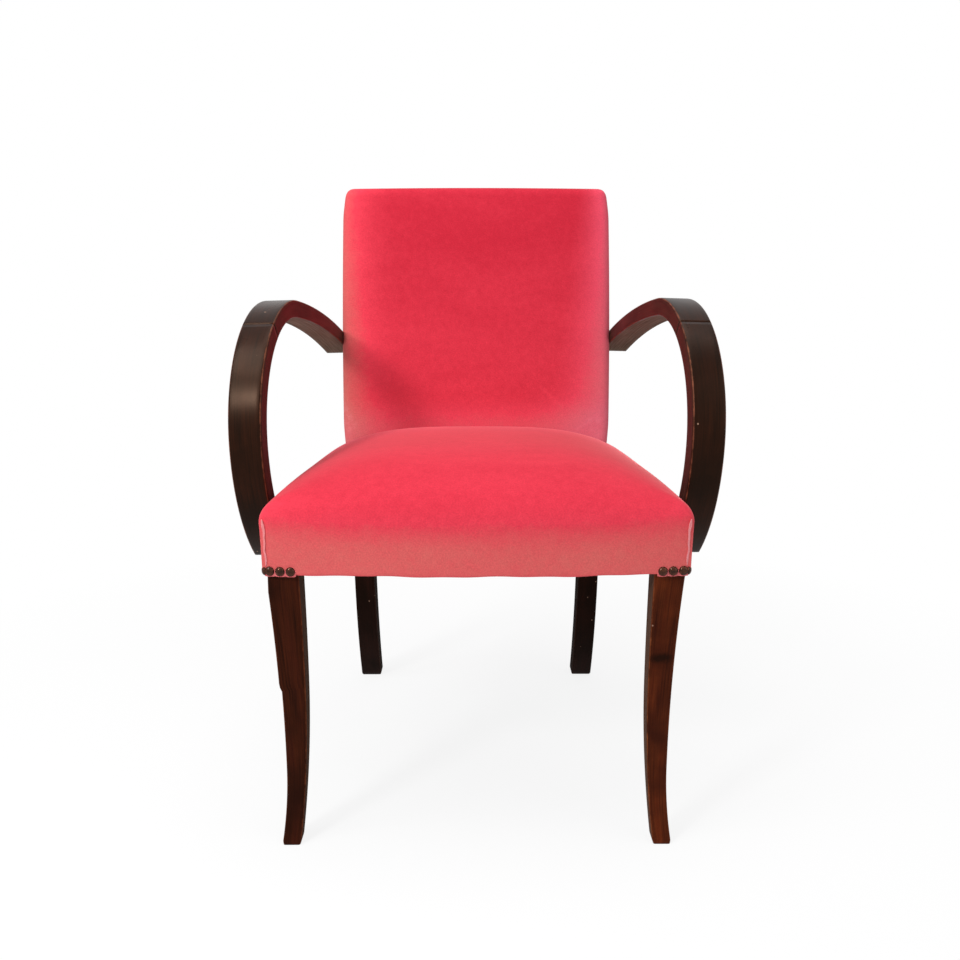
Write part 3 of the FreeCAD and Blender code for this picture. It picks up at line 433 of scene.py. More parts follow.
# Screws and springs: plain steel, turned or drawn, driven into the blocks and rails or sewn to the
# webbing. A dull grey metal with stains about 8 mm wide.
def spotted(name, scale, detail, one, other):
    """Starts a material in two tones: itself, its nodes, the noise that spots it, and its colour."""
    made, tree, place = new_finish(name)
    spots = add(tree, "TexNoise", {"Vector": place, "Scale": scale, "Detail": detail})
    tone = add(tree, "Mix", {0: spots, 6: linear(one), 7: linear(other)}, data_type="RGBA").outputs[2]
    return made, tree, spots, tone


steel, tree, stain, tone = spotted("dull_drawn_steel", 120.0, 4.0, "#8E8C88", "#6B6660")
rough = add(tree, "MapRange", {0: stain, 1: 0.3, 2: 0.7, 3: 0.3, 4: 0.5})
shell = add(tree, "BsdfPrincipled", {"Base Color": tone, "Metallic": 1.0, "Roughness": rough})
add(tree, "OutputMaterial", {"Surface": shell})
finish_nodes(steel, "corner_block_screws", "arm_rail_screws", "arm_post_screws", "seat_springs")


# Webbing and canvas: woven jute straps, tacked to the rails and interlaced, and open hessian over
# them and over the springs. Coarse, dry and straw-brown; a thread is 1.5 to 2 mm wide.
jute = plain_grain("woven_jute", "#B49A6C", "#8F7447", (500.0, 500.0, 500.0), 0.9)
finish_nodes(jute, "seat_straps_lengthwise", "seat_straps_crosswise",
             "back_straps_upright", "back_straps_crosswise")
hessian = plain_grain("open_hessian", "#A98C5E", "#7C6239", (700.0, 700.0, 700.0), 0.95)
finish_nodes(hessian, "spring_canvas", "back_canvas")


# Arms: each is two pieces sawn from a hardwood plank, the front loop and the armrest, dowelled
# together near the crest. Dark stain with rubbed arrises and a bare underside; a land at each end
# is screwed to the frame. The right arm sits a little higher and wider than the left, as fitted by hand.
arm_stain = varnished("stained_arm_hardwood", "#0D0503", "#1E0C07", "#35180C", "#93553F", 0.29, 0.125,
                      ("#4C3C30", "#857260"))
ARM_FRONT, ARM_Z, ARM_LOW, ARM_WIDTH, ARM_END = -450.0, 479.0, 335.5, 40.0, 8.0
LOW_R, LOW_THICK, CREST_R, CREST_THICK, REAR_R, REAR_THICK = 203.0, 24.5, 167.0, 22.8, 1064.0, 20.0
CREST_TURN, JOINT_TURN, JOINT_GAP = 95.85, 57.0, 0.07
FOOT_LAND_TOP, HEEL_LAND_START, FOOT_LAND_X, HEEL_LAND_X = 397.0, -18.0, -12.0, -2.5
ARM_X, ARM_BEHIND, ARM_SPLAY, ARM_TILT = 201.0, 21.0, math.radians(6.45), math.radians(1.72)
ARM_RAW = [(2, 1.0), (1, 0.13)]
ARM_SHIFT = {1: (1.5, 0.0, 2.8), -1: (0.0, 0.0, 0.0)}
CREST_HUB, INNER_R = ARM_FRONT + CREST_R, CREST_R - CREST_THICK
INNER_HUB = ARM_FRONT + LOW_THICK + INNER_R


def ring(centre, radius, turn):
    """Point of a circle in the arm's plane, turned from the front over the top."""
    a = math.radians(turn)
    return centre - radius * math.cos(a), ARM_Z + radius * math.sin(a)


crest_start = ring(CREST_HUB, CREST_R, CREST_TURN)
rear_hub = (crest_start[0] + REAR_R * math.cos(math.radians(CREST_TURN)),
            crest_start[1] - REAR_R * math.sin(math.radians(CREST_TURN)))


def rear_height(y, radius):
    """Height of the armrest's long rear arc."""
    return rear_hub[1] + math.sqrt(radius * radius - (y - rear_hub[0]) ** 2)


end_height = rear_height(0.0, REAR_R - REAR_THICK / 2.0)
end_y = POST_FRONT + (end_height - BACK_FOOT) * math.tan(LEAN) + ARM_BEHIND
arm_turn = (Matrix.Translation((ARM_X, end_y, end_height)) @ Matrix.Rotation(ARM_SPLAY, 4, "Z")
            @ Matrix.Rotation(ARM_TILT, 4, "Y") @ Matrix.Translation((0.0, 0.0, -end_height)))


def arm_rows(pairs, x0, x1, shift):
    """Sections across the arm from pairs of outer and inner points."""
    rows = []
    for (yo, zo), (yi, zi) in pairs:
        quad = [(x1, yo, zo), (x0, yo, zo), (x0, yi, zi), (x1, yi, zi)]
        rows.append([tuple(arm_turn @ Vector(p) + Vector(shift)) for p in quad])
    return rows


def loop_pairs():
    """Outer and inner points of the front loop, from its foot up to the joint."""
    low_outer = math.degrees(math.asin((ARM_LOW - ARM_Z) / LOW_R))
    low_inner = math.degrees(math.asin((ARM_LOW - ARM_Z) / (LOW_R - LOW_THICK)))
    pairs = []
    for t in np.linspace(1.0, 0.0, 40, endpoint=False):
        pairs.append((ring(ARM_FRONT + LOW_R, LOW_R, low_outer * t),
                      ring(ARM_FRONT + LOW_R, LOW_R - LOW_THICK, low_inner * t)))
    for t in np.linspace(0.0, JOINT_TURN - JOINT_GAP, 34):
        pairs.append((ring(CREST_HUB, CREST_R, t), ring(INNER_HUB, INNER_R, t)))
    return pairs


def rest_pairs():
    """Outer and inner points of the armrest, from the joint over the crest to the rear end."""
    pairs = []
    for t in np.linspace(JOINT_TURN + JOINT_GAP, CREST_TURN, 24, endpoint=False):
        pairs.append((ring(CREST_HUB, CREST_R, t), ring(INNER_HUB, INNER_R, t)))
    inner_start = ring(INNER_HUB, INNER_R, CREST_TURN)[0]
    for t in np.linspace(0.0, 1.0, 34):
        yo = crest_start[0] + (ARM_END - crest_start[0]) * t
        yi = inner_start + (ARM_END - inner_start) * t
        thick = CREST_THICK + (REAR_THICK - CREST_THICK) * t
        pairs.append(((yo, rear_height(yo, REAR_R)), (yi, rear_height(yi, REAR_R - thick))))
    return pairs


foot_pairs = [pair for pair in loop_pairs() if pair[0][1] < FOOT_LAND_TOP]
heel_pairs = [pair for pair in rest_pairs() if pair[0][0] > HEEL_LAND_START]
for side, name in ((1, "right"), (-1, "left")):
    for piece, pairs, land, reach in (("arm_support", loop_pairs(), foot_pairs, FOOT_LAND_X),
                                      ("armrest", rest_pairs(), heel_pairs, HEEL_LAND_X)):
        sticks = [stick(arm_rows(chain, x0, x1, ARM_SHIFT[side]), ease, side, ARM_RAW)
                  for chain, x0, x1, ease in ((pairs, 0.0, ARM_WIDTH, 2.6), (land, reach, 1.0, 0.6))]
        arm = timber(f"{piece}_{name}_shaped", sticks, arm_stain)
        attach(arm, "root")
        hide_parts(f"{piece}_{name}")


# Velvet: short cotton pile. Brushed one way it is deep and vivid, brushed against it pale and dusty,
# so one attribute carries each panel's tone, with painted light, shade and sheen added in, and the cool
# attribute its pink. The pile is drawn about 1.6 mm coarse so that it shows.
velvet, tree, place = new_finish("cotton_velvet")
# The attribute read here holds the pile's tone together with painted light and shade.
pile_and_painted_light = add(tree, "Attribute", attribute_name="pile_and_painted_light").outputs["Fac"]
brushed = add(tree, "Mapping", {"Vector": place, "Scale": (5.0, 9.0, 14.0)})
brushed = add(tree, "TexNoise", {"Vector": brushed, "Scale": 1.0, "Detail": 4.0, "Distortion": 0.8})
pile = add(tree, "TexNoise", {"Vector": place, "Scale": 620.0, "Detail": 2.0})
mottle = add(tree, "TexNoise", {"Vector": place, "Scale": 95.0, "Detail": 5.0, "Roughness": 0.7})
sway = add(tree, "MapRange", {0: brushed, 1: 0.3, 2: 0.7, 3: -0.045, 4: 0.045})
grit = add(tree, "MapRange", {0: mottle, 1: 0.3, 2: 0.7, 3: -0.05, 4: 0.05})
lay_and_painted_light = add(tree, "Math", {0: pile_and_painted_light, 1: sway}, operation="ADD")
lay_and_painted_light = add(tree, "Math", {0: lay_and_painted_light, 1: grit}, operation="ADD", use_clamp=True)
tones = add(tree, "ValToRGB", {"Fac": lay_and_painted_light})
ramp = tones.color_ramp
ramp.elements[0].position, ramp.elements[0].color = 0.0, linear("#BA2134")
ramp.elements[1].position, ramp.elements[1].color = 1.0, linear("#F0A3A8")
for spot, code in ((0.36, "#DC3A4C"), (0.8, "#CE6862")):
    ramp.elements.new(spot).color = linear(code)
cool = add(tree, "Attribute", attribute_name="cool").outputs["Fac"]
tinted = add(tree, "Mix", {0: cool, 6: tones, 7: linear("#D75E79")}, data_type="RGBA").outputs[2]
dot = add(tree, "MapRange", {0: pile, 1: 0.3, 2: 0.7, 3: 0.9, 4: 1.08})
shade = add(tree, "Mix", {0: 1.0, 6: tinted, 7: dot}, data_type="RGBA", blend_type="MULTIPLY").outputs[2]
bump = add(tree, "Bump", {"Height": pile, "Strength": 0.18, "Distance": 0.0008})
shell = add(tree, "BsdfPrincipled",
            {"Base Color": shade, "Roughness": 0.9, "Normal": bump, "Specular IOR Level": 0.15,
             "Sheen Weight": 0.55, "Sheen Roughness": 0.35, "Sheen Tint": linear("#F6A3A0")})
add(tree, "OutputMaterial", {"Surface": shell})


# Seat: velvet drawn over wadding, stuffing and springs, tight and crowned, with a straight apron
# pulled down over the rails and turned under them.
SHOULDER, SEAT_LOW, SEAT_RISE = 405.0, 343.4, 46.0
FRONT, REAR, ROLL = -22.0, 419.0, 20.0
GROW, FRONT_BOW, SKIRT_DRAW, TUCK, TUCK_FROM = 7.0, 15.0, 5.0, 21.0, 330.0
CORNER_SHARE, CORNER_TIGHTEN = 0.6, 0.75
ACROSS, DEEP, SKIRT = 84, 76, 16
VELVET_THICK = 0.0016


def smooth(value, low, high):
    """Eased step from 0 at low to 1 at high."""
    t = clipped((value - low) / (high - low))
    return t * t * (3.0 - 2.0 * t)


def side_x(y):
    """Outside of the seat frame, which narrows towards the rear."""
    return LEG_FACE - SPLAY * y


def roll_out(t, length, radius):
    """Runs t from 0 to 1 along a flat that ends in a quarter roll: reach, drop and sine."""
    bend = radius * math.pi / 2.0
    flat = length - radius
    run = t * (flat + bend)
    if run <= flat:
        return run, 0.0, 0.0
    a = (run - flat) / radius
    return flat + radius * math.sin(a), radius * (1.0 - math.cos(a)), math.sin(a)


def seat_crown(x, y):
    """Height of the crown over the seat's shoulder."""
    u = x / (side_x(y) + GROW)
    v = (y - (FRONT + REAR) / 2.0) / ((REAR - FRONT) / 2.0)
    return SEAT_RISE * max(0.0, 1.0 - abs(u) ** 3.5) * max(0.0, 1.0 - abs(v) ** 3.5)


def seat_top_point(i, j, ease):
    """Point of the top by its place in the grid, and the way out from it. Outer rows are the shoulder."""
    u = 2.0 * i / ACROSS - 1.0
    v = 2.0 * j / DEEP - 1.0
    dy, drop_v, sin_v = roll_out(abs(v), (REAR - FRONT) / 2.0, ROLL)
    y_line = (FRONT + REAR) / 2.0 + math.copysign(dy, v)
    half = side_x(y_line) + GROW
    dx, drop_u, sin_u = roll_out(abs(u), half, ROLL)
    cos_u, cos_v = 1.0 - drop_u / ROLL, 1.0 - drop_v / ROLL
    if v > 0:
        sin_v = 0.0
    slack_u, slack_v = math.sqrt(1.0 - sin_u * sin_u / 2.0), math.sqrt(1.0 - sin_v * sin_v / 2.0)
    x = math.copysign(dx - ROLL * ease * sin_u * (1.0 - slack_v), u)
    y = y_line - math.copysign(ROLL * ease * sin_v * (1.0 - slack_u), v)
    bow_in = FRONT_BOW * (x / half) ** 2 * max(0.0, -v) ** 1.5
    z = SHOULDER + ROLL * cos_u * cos_v + seat_crown(x, min(max(y_line, FRONT), REAR))
    return (x, y + bow_in, z), (math.copysign(sin_u * slack_v, u), -sin_v * slack_u)


def grid_faces(columns, rows):
    """Faces of a grid whose points are stored row by row."""
    wide = columns + 1
    return [[r * wide + c, r * wide + c + 1, (r + 1) * wide + c + 1, (r + 1) * wide + c]
            for r in range(rows) for c in range(columns)]


def rim_of(columns, rows):
    """Places round the edge of a grid, in order."""
    loop = [(i, 0) for i in range(columns)] + [(columns, j) for j in range(rows)]
    return loop + [(i, rows) for i in range(columns, 0, -1)] + [(0, j) for j in range(rows, 0, -1)]


def join_rings(upper, lower):
    """Faces between two rings of points."""
    count = len(upper)
    return [[upper[(k + 1) % count], upper[k], lower[k], lower[(k + 1) % count]] for k in range(count)]


def seat_mesh():
    """Top, apron and turned hem of the cover: points, faces and how firmly each point is held."""
    points, pin = [], []
    for j in range(DEEP + 1):
        for i in range(ACROSS + 1):
            points.append(seat_top_point(i, j, CORNER_SHARE)[0])
            rim = max(abs(2.0 * i / ACROSS - 1.0), 1.0 - 2.0 * j / DEEP)
            pin.append(1.0 if j >= DEEP - 4 else 0.8 * smooth(rim, 0.86, 0.97))
    faces = grid_faces(ACROSS, DEEP)
    loop = rim_of(ACROSS, DEEP)
    upper = [j * (ACROSS + 1) + i for i, j in loop]
    rows = [(k / SKIRT, SHOULDER - (SHOULDER - SEAT_LOW) * k / SKIRT, 0.0) for k in range(1, SKIRT + 1)]
    rows += [(1.0, SEAT_LOW - 0.8, 3.0), (1.0, SEAT_LOW - 0.4, 11.0)]
    for share, z, under in rows:
        lower = list(range(len(points), len(points) + len(loop)))
        for i, j in loop:
            (x, y, _), out = seat_top_point(i, j, CORNER_SHARE * (1.0 - CORNER_TIGHTEN * share))
            inward = SKIRT_DRAW * share + under
            if j == DEEP:
                out = (0.0, under / max(inward, 1e-6))
            behind = TUCK * clipped((y - TUCK_FROM) / (REAR - TUCK_FROM)) * min(1.0, share * SKIRT)
            wave = (0.5 * math.sin(x / 23.0 + 0.4) + 0.35 * math.sin(x / 9.5 + y / 31.0)) * share ** 4
            points.append((x - out[0] * inward, y - out[1] * inward + behind, z + wave))
            pin.append(1.0)
        faces += join_rings(upper, lower)
        upper = lower
    return points, faces, pin


def cloth_mesh(name, points, faces):
    """A smooth piece of cloth from points in millimetres."""
    mesh = bpy.data.meshes.new(name)
    mesh.from_pydata(in_metres(points), [], faces)
    mesh.update()
    mesh.polygons.foreach_set("use_smooth", [True] * len(faces))
    return stand(name, mesh)


def swell(piece, pin, pressure, cap):
    """Fills a stretched cover: cloth under pressure, pinned where tacked, moved by cap metres at most."""
    group = piece.vertex_groups.new(name="tacked")
    for i, w in enumerate(pin):
        if w > 0.0:
            group.add([i], w, "REPLACE")
    rest = np.array([v.co for v in piece.data.vertices])
    cloth = piece.modifiers.new("filling", "CLOTH")
    for key, value in {"quality": 6, "mass": 0.35, "tension_stiffness": 18.0, "compression_stiffness": 18.0,
                       "shear_stiffness": 8.0, "bending_stiffness": 2.0, "use_pressure": True,
                       "uniform_pressure_force": pressure, "vertex_group_mass": "tacked"}.items():
        setattr(cloth.settings, key, value)
    cloth.settings.effector_weights.gravity = 0.0
    cloth.collision_settings.use_collision = False
    for step_frame in range(1, 21):
        scene.frame_set(step_frame)
    settled = piece.evaluated_get(bpy.context.evaluated_depsgraph_get()).to_mesh()
    moved = np.array([v.co for v in settled.vertices]) - rest
    piece.evaluated_get(bpy.context.evaluated_depsgraph_get()).to_mesh_clear()
    piece.modifiers.remove(cloth)
    piece.vertex_groups.clear()
    scene.frame_set(1)
    far = np.linalg.norm(moved, axis=1)
    moved *= (np.minimum(far, cap) / np.maximum(far, 1e-9))[:, None]
    piece.data.vertices.foreach_set("co", (rest + moved).ravel())
    piece.data.update()


def apply_modifiers(piece):
    """Turns what the modifiers show into the piece's own mesh."""
    shown = piece.evaluated_get(bpy.context.evaluated_depsgraph_get())
    mesh = bpy.data.meshes.new_from_object(shown)
    piece.modifiers.clear()
    piece.data = mesh


def thicken(piece, thick, offset=-1.0):
    """Gives a cloth its thickness in metres, inwards unless said otherwise."""
    skin = piece.modifiers.new("cloth_thickness", "SOLIDIFY")
    skin.thickness = thick
    skin.offset = offset
    apply_modifiers(piece)


def stuffed_cover(name, mesh_data, pressure, cap):
    """A velvet cover, swelled by its stuffing."""
    points, faces, pin = mesh_data
    piece = cloth_mesh(name, points, faces)
    swell(piece, pin, pressure, cap)
    finer = piece.modifiers.new("finer", "SUBSURF")
    finer.levels = finer.render_levels = 1
    thicken(piece, VELVET_THICK)
    return piece


def set_pile_and_painted_light(piece, tone):
    """Stores at each point how pale the brushed pile is, with painted light and shade added in, and how cool.
    """
    values = [tone(v.co / MM) for v in piece.data.vertices]
    for n, label in enumerate(("pile_and_painted_light", "cool")):
        piece.data.attributes.new(label, "FLOAT", "POINT").data.foreach_set("value", [v[n] for v in values])


def seat_tone(p):
    """Vivid on the crown; paler and dusty on the apron, where the pile's sheen seen from the front is painted
    in, with a painted shadow line along the hem; pinker towards the rear.
    """
    # Painted sheen: the apron is paler, as the pile brushed down the front looks from the front; the line
    # rises a little at the corners.
    lift = 10.0 * min(1.0, abs(p.x) / 235.0) ** 4
    down = 1.0 - smooth(p.z, 366.0 + lift, 434.0 + lift)
    rear = smooth(p.y, -90.0, 130.0)
    flank = smooth(abs(p.x), 130.0, 225.0) * smooth(p.y, -160.0, 60.0)
    # Painted shadow: a deeper red line along the bottom 3 mm of the hem, where it turns under.
    down -= 0.25 * (1.0 - smooth(p.z, 343.0, 346.0))
    pink = 0.36 * rear * (1.0 - down)
    return 0.17 + 0.5 * down + pink, pink + 0.25 * flank * (1.0 - down)


seat = stuffed_cover("seat_cushion", seat_mesh(), 3.0, 0.006)
set_pile_and_painted_light(seat, seat_tone)
seat.data.materials.append(velvet)
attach(seat, "root")
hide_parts("seat_cover", "seat_wadding", "seat_stuffing")


# Back: velvet over a thin stuffed pad, flat and firm with softly rounded edges, carried round the
# sides and the top to the rear of the posts, where it is tacked.
BACK_HALF, BACK_LOW, BACK_HIGH, BACK_OUT, BACK_ROLL = 205.0, 4.0, 413.0, 20.0, 12.0
BACK_SWELL, BACK_FULL, TOP_DOME, TOP_DRAW, LOW_DRAW = 8.0, 0.011, 1.8, 4.0, 3.0
WIDE, TALL, WRAP = 76, 76, 12


def back_point(i, j):
    """Point of the front of the back pad: across, out from the posts' faces, and up."""
    u = 2.0 * i / WIDE - 1.0
    v = 2.0 * j / TALL - 1.0
    half_tall = (BACK_HIGH - BACK_LOW) / 2.0
    dx, drop_u, sin_u = roll_out(abs(u), BACK_HALF, BACK_ROLL)
    dz, drop_v, sin_v = roll_out(abs(v), half_tall, BACK_ROLL)
    pull_x = BACK_ROLL * sin_u * (1.0 - math.sqrt(1.0 - sin_v * sin_v / 2.0))
    pull_z = BACK_ROLL * sin_v * (1.0 - math.sqrt(1.0 - sin_u * sin_u / 2.0))
    up = (BACK_HIGH + BACK_LOW) / 2.0 + math.copysign(dz - pull_z, v)
    draw_in = TOP_DRAW * smooth(v, 0.74, 1.0) + LOW_DRAW * (1.0 - smooth(v, -1.0, -0.72))
    x = math.copysign((dx - pull_x) * (1.0 + BACK_FULL * (1.0 - v * v) - draw_in / BACK_HALF), u)
    up += TOP_DOME * (1.0 - u * u) * smooth(v, 0.8, 1.0)
    cos_u, cos_v = 1.0 - drop_u / BACK_ROLL, 1.0 - drop_v / BACK_ROLL
    out = BACK_OUT - BACK_ROLL + BACK_ROLL * cos_u * cos_v
    out += BACK_SWELL * (1.0 - abs(dx / BACK_HALF) ** 4) * (1.0 - abs(dz / half_tall) ** 4)
    return x, -out, up


def back_mesh():
    """Front, sides and turned edge of the cover: points, faces and how firmly each point is held."""
    points, pin = [], []
    for j in range(TALL + 1):
        for i in range(WIDE + 1):
            x, out, up = back_point(i, j)
            points.append((x, *on_back(out, up)))
            rim = max(abs(2.0 * i / WIDE - 1.0), abs(2.0 * j / TALL - 1.0))
            pin.append(smooth(rim, 0.8, 0.93))
    faces = grid_faces(WIDE, TALL)
    loop = rim_of(WIDE, TALL)
    upper = [j * (WIDE + 1) + i for i, j in loop]
    edge = [back_point(*key) for key in loop]
    rows = [(k / WRAP, 0.0) for k in range(1, WRAP + 1)] + [(1.0, 4.0), (1.0, 14.0)]
    for share, under in rows:
        lower = list(range(len(points), len(points) + len(loop)))
        for (i, j), (x, out, up) in zip(loop, edge):
            deep = -3.0 if j == 0 else post_depth(up) - 0.2
            inward = under if j else 0.0
            turned_x = x - math.copysign(inward, x) * (1.0 if i in (0, WIDE) else 0.0)
            turned_up = up - (inward if j == TALL else 0.0) + (under if j == 0 else 0.0)
            reach = out + (deep - out) * share + (0.6 if under else 0.0)
            points.append((turned_x, *on_back(reach, turned_up)))
            pin.append(1.0)
        faces += join_rings(upper, lower)
        upper = lower
    return points, faces, pin


def back_tone(p):
    """Deep at the top and paler towards the foot, partly painted shade and light; pale at the edges: warm
    painted light on the left, cool pile on the right.
    """
    # Painted light: a warm pale band down the left edge, where the light from the left falls.
    left = clipped((-115.0 - p.x) / 92.0) ** 2
    start = 105.0 + 0.14 * (p.z - 480.0)
    right = clipped((p.x - start) / (BACK_HALF - start)) ** 2
    foot = 1.0 - smooth(p.z, 430.0, 500.0)
    # Painted shade and light: darker towards the top of the back and paler lower down.
    low = 1.0 - smooth(p.z, 470.0, 790.0)
    swirl = smooth(p.x, 60.0, 170.0) * (1.0 - smooth(p.z, 440.0, 520.0))
    streak = math.exp(-((p.z - 505.0 + 0.9 * (p.x - 104.0)) / 4.0) ** 2) * smooth(p.x, 98.0, 106.0)
    streak *= 1.0 - smooth(p.x, 118.0, 136.0)
    pale = 0.02 + 0.12 * streak + 0.2 * low + 0.32 * foot + max(0.62 * left, 0.5 * right) + 0.2 * swirl
    return min(0.82, pale), min(0.65, 0.55 * right + 0.28 * foot + 0.25 * swirl)


back = stuffed_cover("back_cushion", back_mesh(), 2.0, 0.004)
set_pile_and_painted_light(back, back_tone)
back.data.materials.append(velvet)


# Flaps: the back cover runs on down the outside of each rear post to the underside of the rail, where
# it is tacked. A narrow strip of the same velvet, folded at its edges.
FLAP_TOP, FLAP_IN, FLAP_FRONT = 412.0, 200.2, 442.4


def add_to(piece, other):
    """Takes another piece's mesh into this one."""
    both = bmesh.new()
    both.from_mesh(piece.data)
    both.from_mesh(other.data)
    both.to_mesh(piece.data)
    both.free()
    bpy.data.objects.remove(other)


for side in (1, -1):
    rows = []
    for z in np.linspace(SEAT_LOW, FLAP_TOP, 16):
        rake = max(0.0, z - BACK_FOOT) * math.tan(LEAN)
        front, rear = FLAP_FRONT + rake, POST_REAR + rake
        rows.append([(BACK_HALF, front, z), (FLAP_IN, front, z), (FLAP_IN, rear, z), (BACK_HALF, rear, z)])
    flap = timber("post_flap", [stick(rows, 0.9, side)], velvet)
    # The flaps take the back's tones, the painted light on the left included.
    set_pile_and_painted_light(flap, back_tone)
    add_to(back, flap)
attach(back, "root")
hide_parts("back_cover", "back_stuffing")


# Outside back: one flat panel of velvet behind the posts, from the underside of the rear rail to
# the top, with its edges turned in and slip-stitched to the cover.
PANEL_HALF, PANEL_PROUD, PANEL_HOLLOW, PANEL_TURN = 203.4, 1.9, 2.2, 1.5
COLUMNS = 48
panel_rows = [(POST_REAR + PANEL_PROUD, z) for z in np.linspace(SEAT_LOW, POST_SPLICE, 12)]
panel_rows += [on_back(post_depth(up) + PANEL_PROUD, up) for up in np.linspace(10.0, 403.0, 60)]
points = []
for r, (y, z) in enumerate(panel_rows):
    rise = 2.0 * r / (len(panel_rows) - 1) - 1.0
    for c in range(COLUMNS + 1):
        s = 2.0 * c / COLUMNS - 1.0
        hollow = PANEL_HOLLOW * (1.0 - s ** 4) * (1.0 - rise ** 4)
        turned = PANEL_TURN * max(0.0, (max(abs(s), abs(rise)) - 0.975) / 0.025) ** 2
        points.append((PANEL_HALF * s, y - hollow - turned, z))
faces = [quad[::-1] for quad in grid_faces(COLUMNS, len(panel_rows) - 1)]
outside = cloth_mesh("outside_back_panel", points, faces)
thicken(outside, VELVET_THICK)
set_pile_and_painted_light(outside, lambda p: (0.2, 0.1))
outside.data.materials.append(velvet)
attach(outside, "root")
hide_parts("outside_back_cover")


# Corner folds: at each front corner the spare velvet is laid in a flat fold, which runs down from the
# shoulder to the nails. Its soft edge stands a little proud; the strip is painted pale pink, a painted
# highlight where the edge catches the light.
FOLD_LOW, FOLD_TOP, FOLD_PROUD = 353.0, 408.0, 0.55


def front_y(x, z):
    """Face of the apron at the front."""
    share = (SHOULDER - z) / (SHOULDER - SEAT_LOW)
    return FRONT + FRONT_BOW * (x / (side_x(FRONT) + GROW)) ** 2 + SKIRT_DRAW * max(0.0, share)


for side, name in ((1, "right"), (-1, "left")):
    rows = []
    for z in np.linspace(FOLD_LOW, FOLD_TOP, 40):
        share = max(0.0, (SHOULDER - z) / (SHOULDER - SEAT_LOW))
        taper = min(1.0, (FOLD_TOP + 2.0 - z) / 8.0, (z - FOLD_LOW + 2.0) / 8.0)
        corner = side_x(FRONT) + GROW - SKIRT_DRAW * share - 2.2 - 3.0 * (1.0 - share)
        near = corner - 1.3 - 0.5 * math.sin(z / 5.5) - 0.3 * math.sin(z / 2.3)
        far = near - (2.0 + 1.2 * smooth(z, 390.0, 402.0)) * taper - 0.4
        lift = FOLD_PROUD * taper
        yn, yf = front_y(near, z) + 0.9 * (1.0 - share) + 0.35, front_y(far, z) + 0.5 * (1.0 - share)
        rows.append([(near, yn - lift, z), (far, yf - lift, z), (far, yf + 1.2, z), (near, yn + 1.2, z)])
    fold = timber(f"corner_fold_{name}", [stick(rows, 0.14, side)], velvet)
    # Painted highlight: the strip is set near the palest tone of the velvet.
    set_pile_and_painted_light(fold, lambda p: (0.92, 0.1))
    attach(fold, "root")


# Nails: domed heads of antiqued bronze in a touching row over the top of each front leg and round its
# corner, driven through the turned end of the cover, a narrow tab of velvet. The bronze is brown,
# nearly black where it has tarnished in spots about 4 mm wide, with small warm highlights.
bronze, tree, place = new_finish("antique_bronze_nail")
tarnish = add(tree, "TexNoise", {"Vector": place, "Scale": 260.0, "Detail": 4.0})
tone = add(tree, "MapRange", {0: tarnish, 1: 0.35, 2: 0.68})
tone = add(tree, "Mix", {0: tone, 6: linear("#4A2717"), 7: linear("#22120B")}, data_type="RGBA").outputs[2]
rough = add(tree, "MapRange", {0: tarnish, 1: 0.3, 2: 0.7, 3: 0.2, 4: 0.34})
shell = add(tree, "BsdfPrincipled",
            {"Base Color": tone, "Metallic": 0.6, "Roughness": rough, "Specular Tint": linear("#C07A50"),
             "Coat Weight": 0.25, "Coat Roughness": 0.1})
add(tree, "OutputMaterial", {"Surface": shell})


def heads_tree():
    """Nodes that set a domed head on every point, turned to face along its out attribute."""
    group = bpy.data.node_groups.new("domed_heads", "GeometryNodeTree")
    sockets = group.interface
    sockets.new_socket("Geometry", in_out="INPUT", socket_type="NodeSocketGeometry")
    for label in ("Head radius", "Head height", "Head length"):
        sockets.new_socket(label, in_out="INPUT", socket_type="NodeSocketFloat")
    sockets.new_socket("Finish", in_out="INPUT", socket_type="NodeSocketMaterial")
    sockets.new_socket("Geometry", in_out="OUTPUT", socket_type="NodeSocketGeometry")
    start = add(group, "NodeGroupInput").outputs
    ball = add(group, "GeometryNodeMeshUVSphere", {"Segments": 20, "Rings": 10, "Radius": 1.0})
    spot = add(group, "GeometryNodeInputPosition")
    parts = add(group, "SeparateXYZ", {0: spot}).outputs
    above = add(group, "Math", {0: parts[2], 1: 0.0}, operation="MAXIMUM")
    flat = add(group, "CombineXYZ", {0: parts[0], 1: parts[1], 2: above})
    dome = add(group, "GeometryNodeSetPosition", {"Geometry": ball, "Position": flat})
    size = add(group, "CombineXYZ",
               {0: start["Head length"], 1: start["Head radius"], 2: start["Head height"]})
    dome = add(group, "GeometryNodeTransform", {"Geometry": dome, "Scale": size})
    shaded = add(group, "GeometryNodeSetShadeSmooth", {0: dome})
    out = add(group, "GeometryNodeInputNamedAttribute", {"Name": "out"}, data_type="FLOAT_VECTOR")
    along = add(group, "GeometryNodeInputNamedAttribute", {"Name": "along"}, data_type="FLOAT_VECTOR")
    turn = add(group, "FunctionNodeAlignRotationToVector", {"Vector": out}, axis="Z")
    turn = add(group, "FunctionNodeAlignRotationToVector",
               {"Rotation": turn, "Vector": along}, axis="X", pivot_axis="Z")
    put = add(group, "GeometryNodeInstanceOnPoints",
              {"Points": start["Geometry"], "Instance": shaded, "Rotation": turn})
    real = add(group, "GeometryNodeRealizeInstances", {"Geometry": put})
    done = add(group, "GeometryNodeSetMaterial", {"Geometry": real, "Material": start["Finish"]})
    add(group, "NodeGroupOutput", {0: done})
    return group


domed_heads = heads_tree()


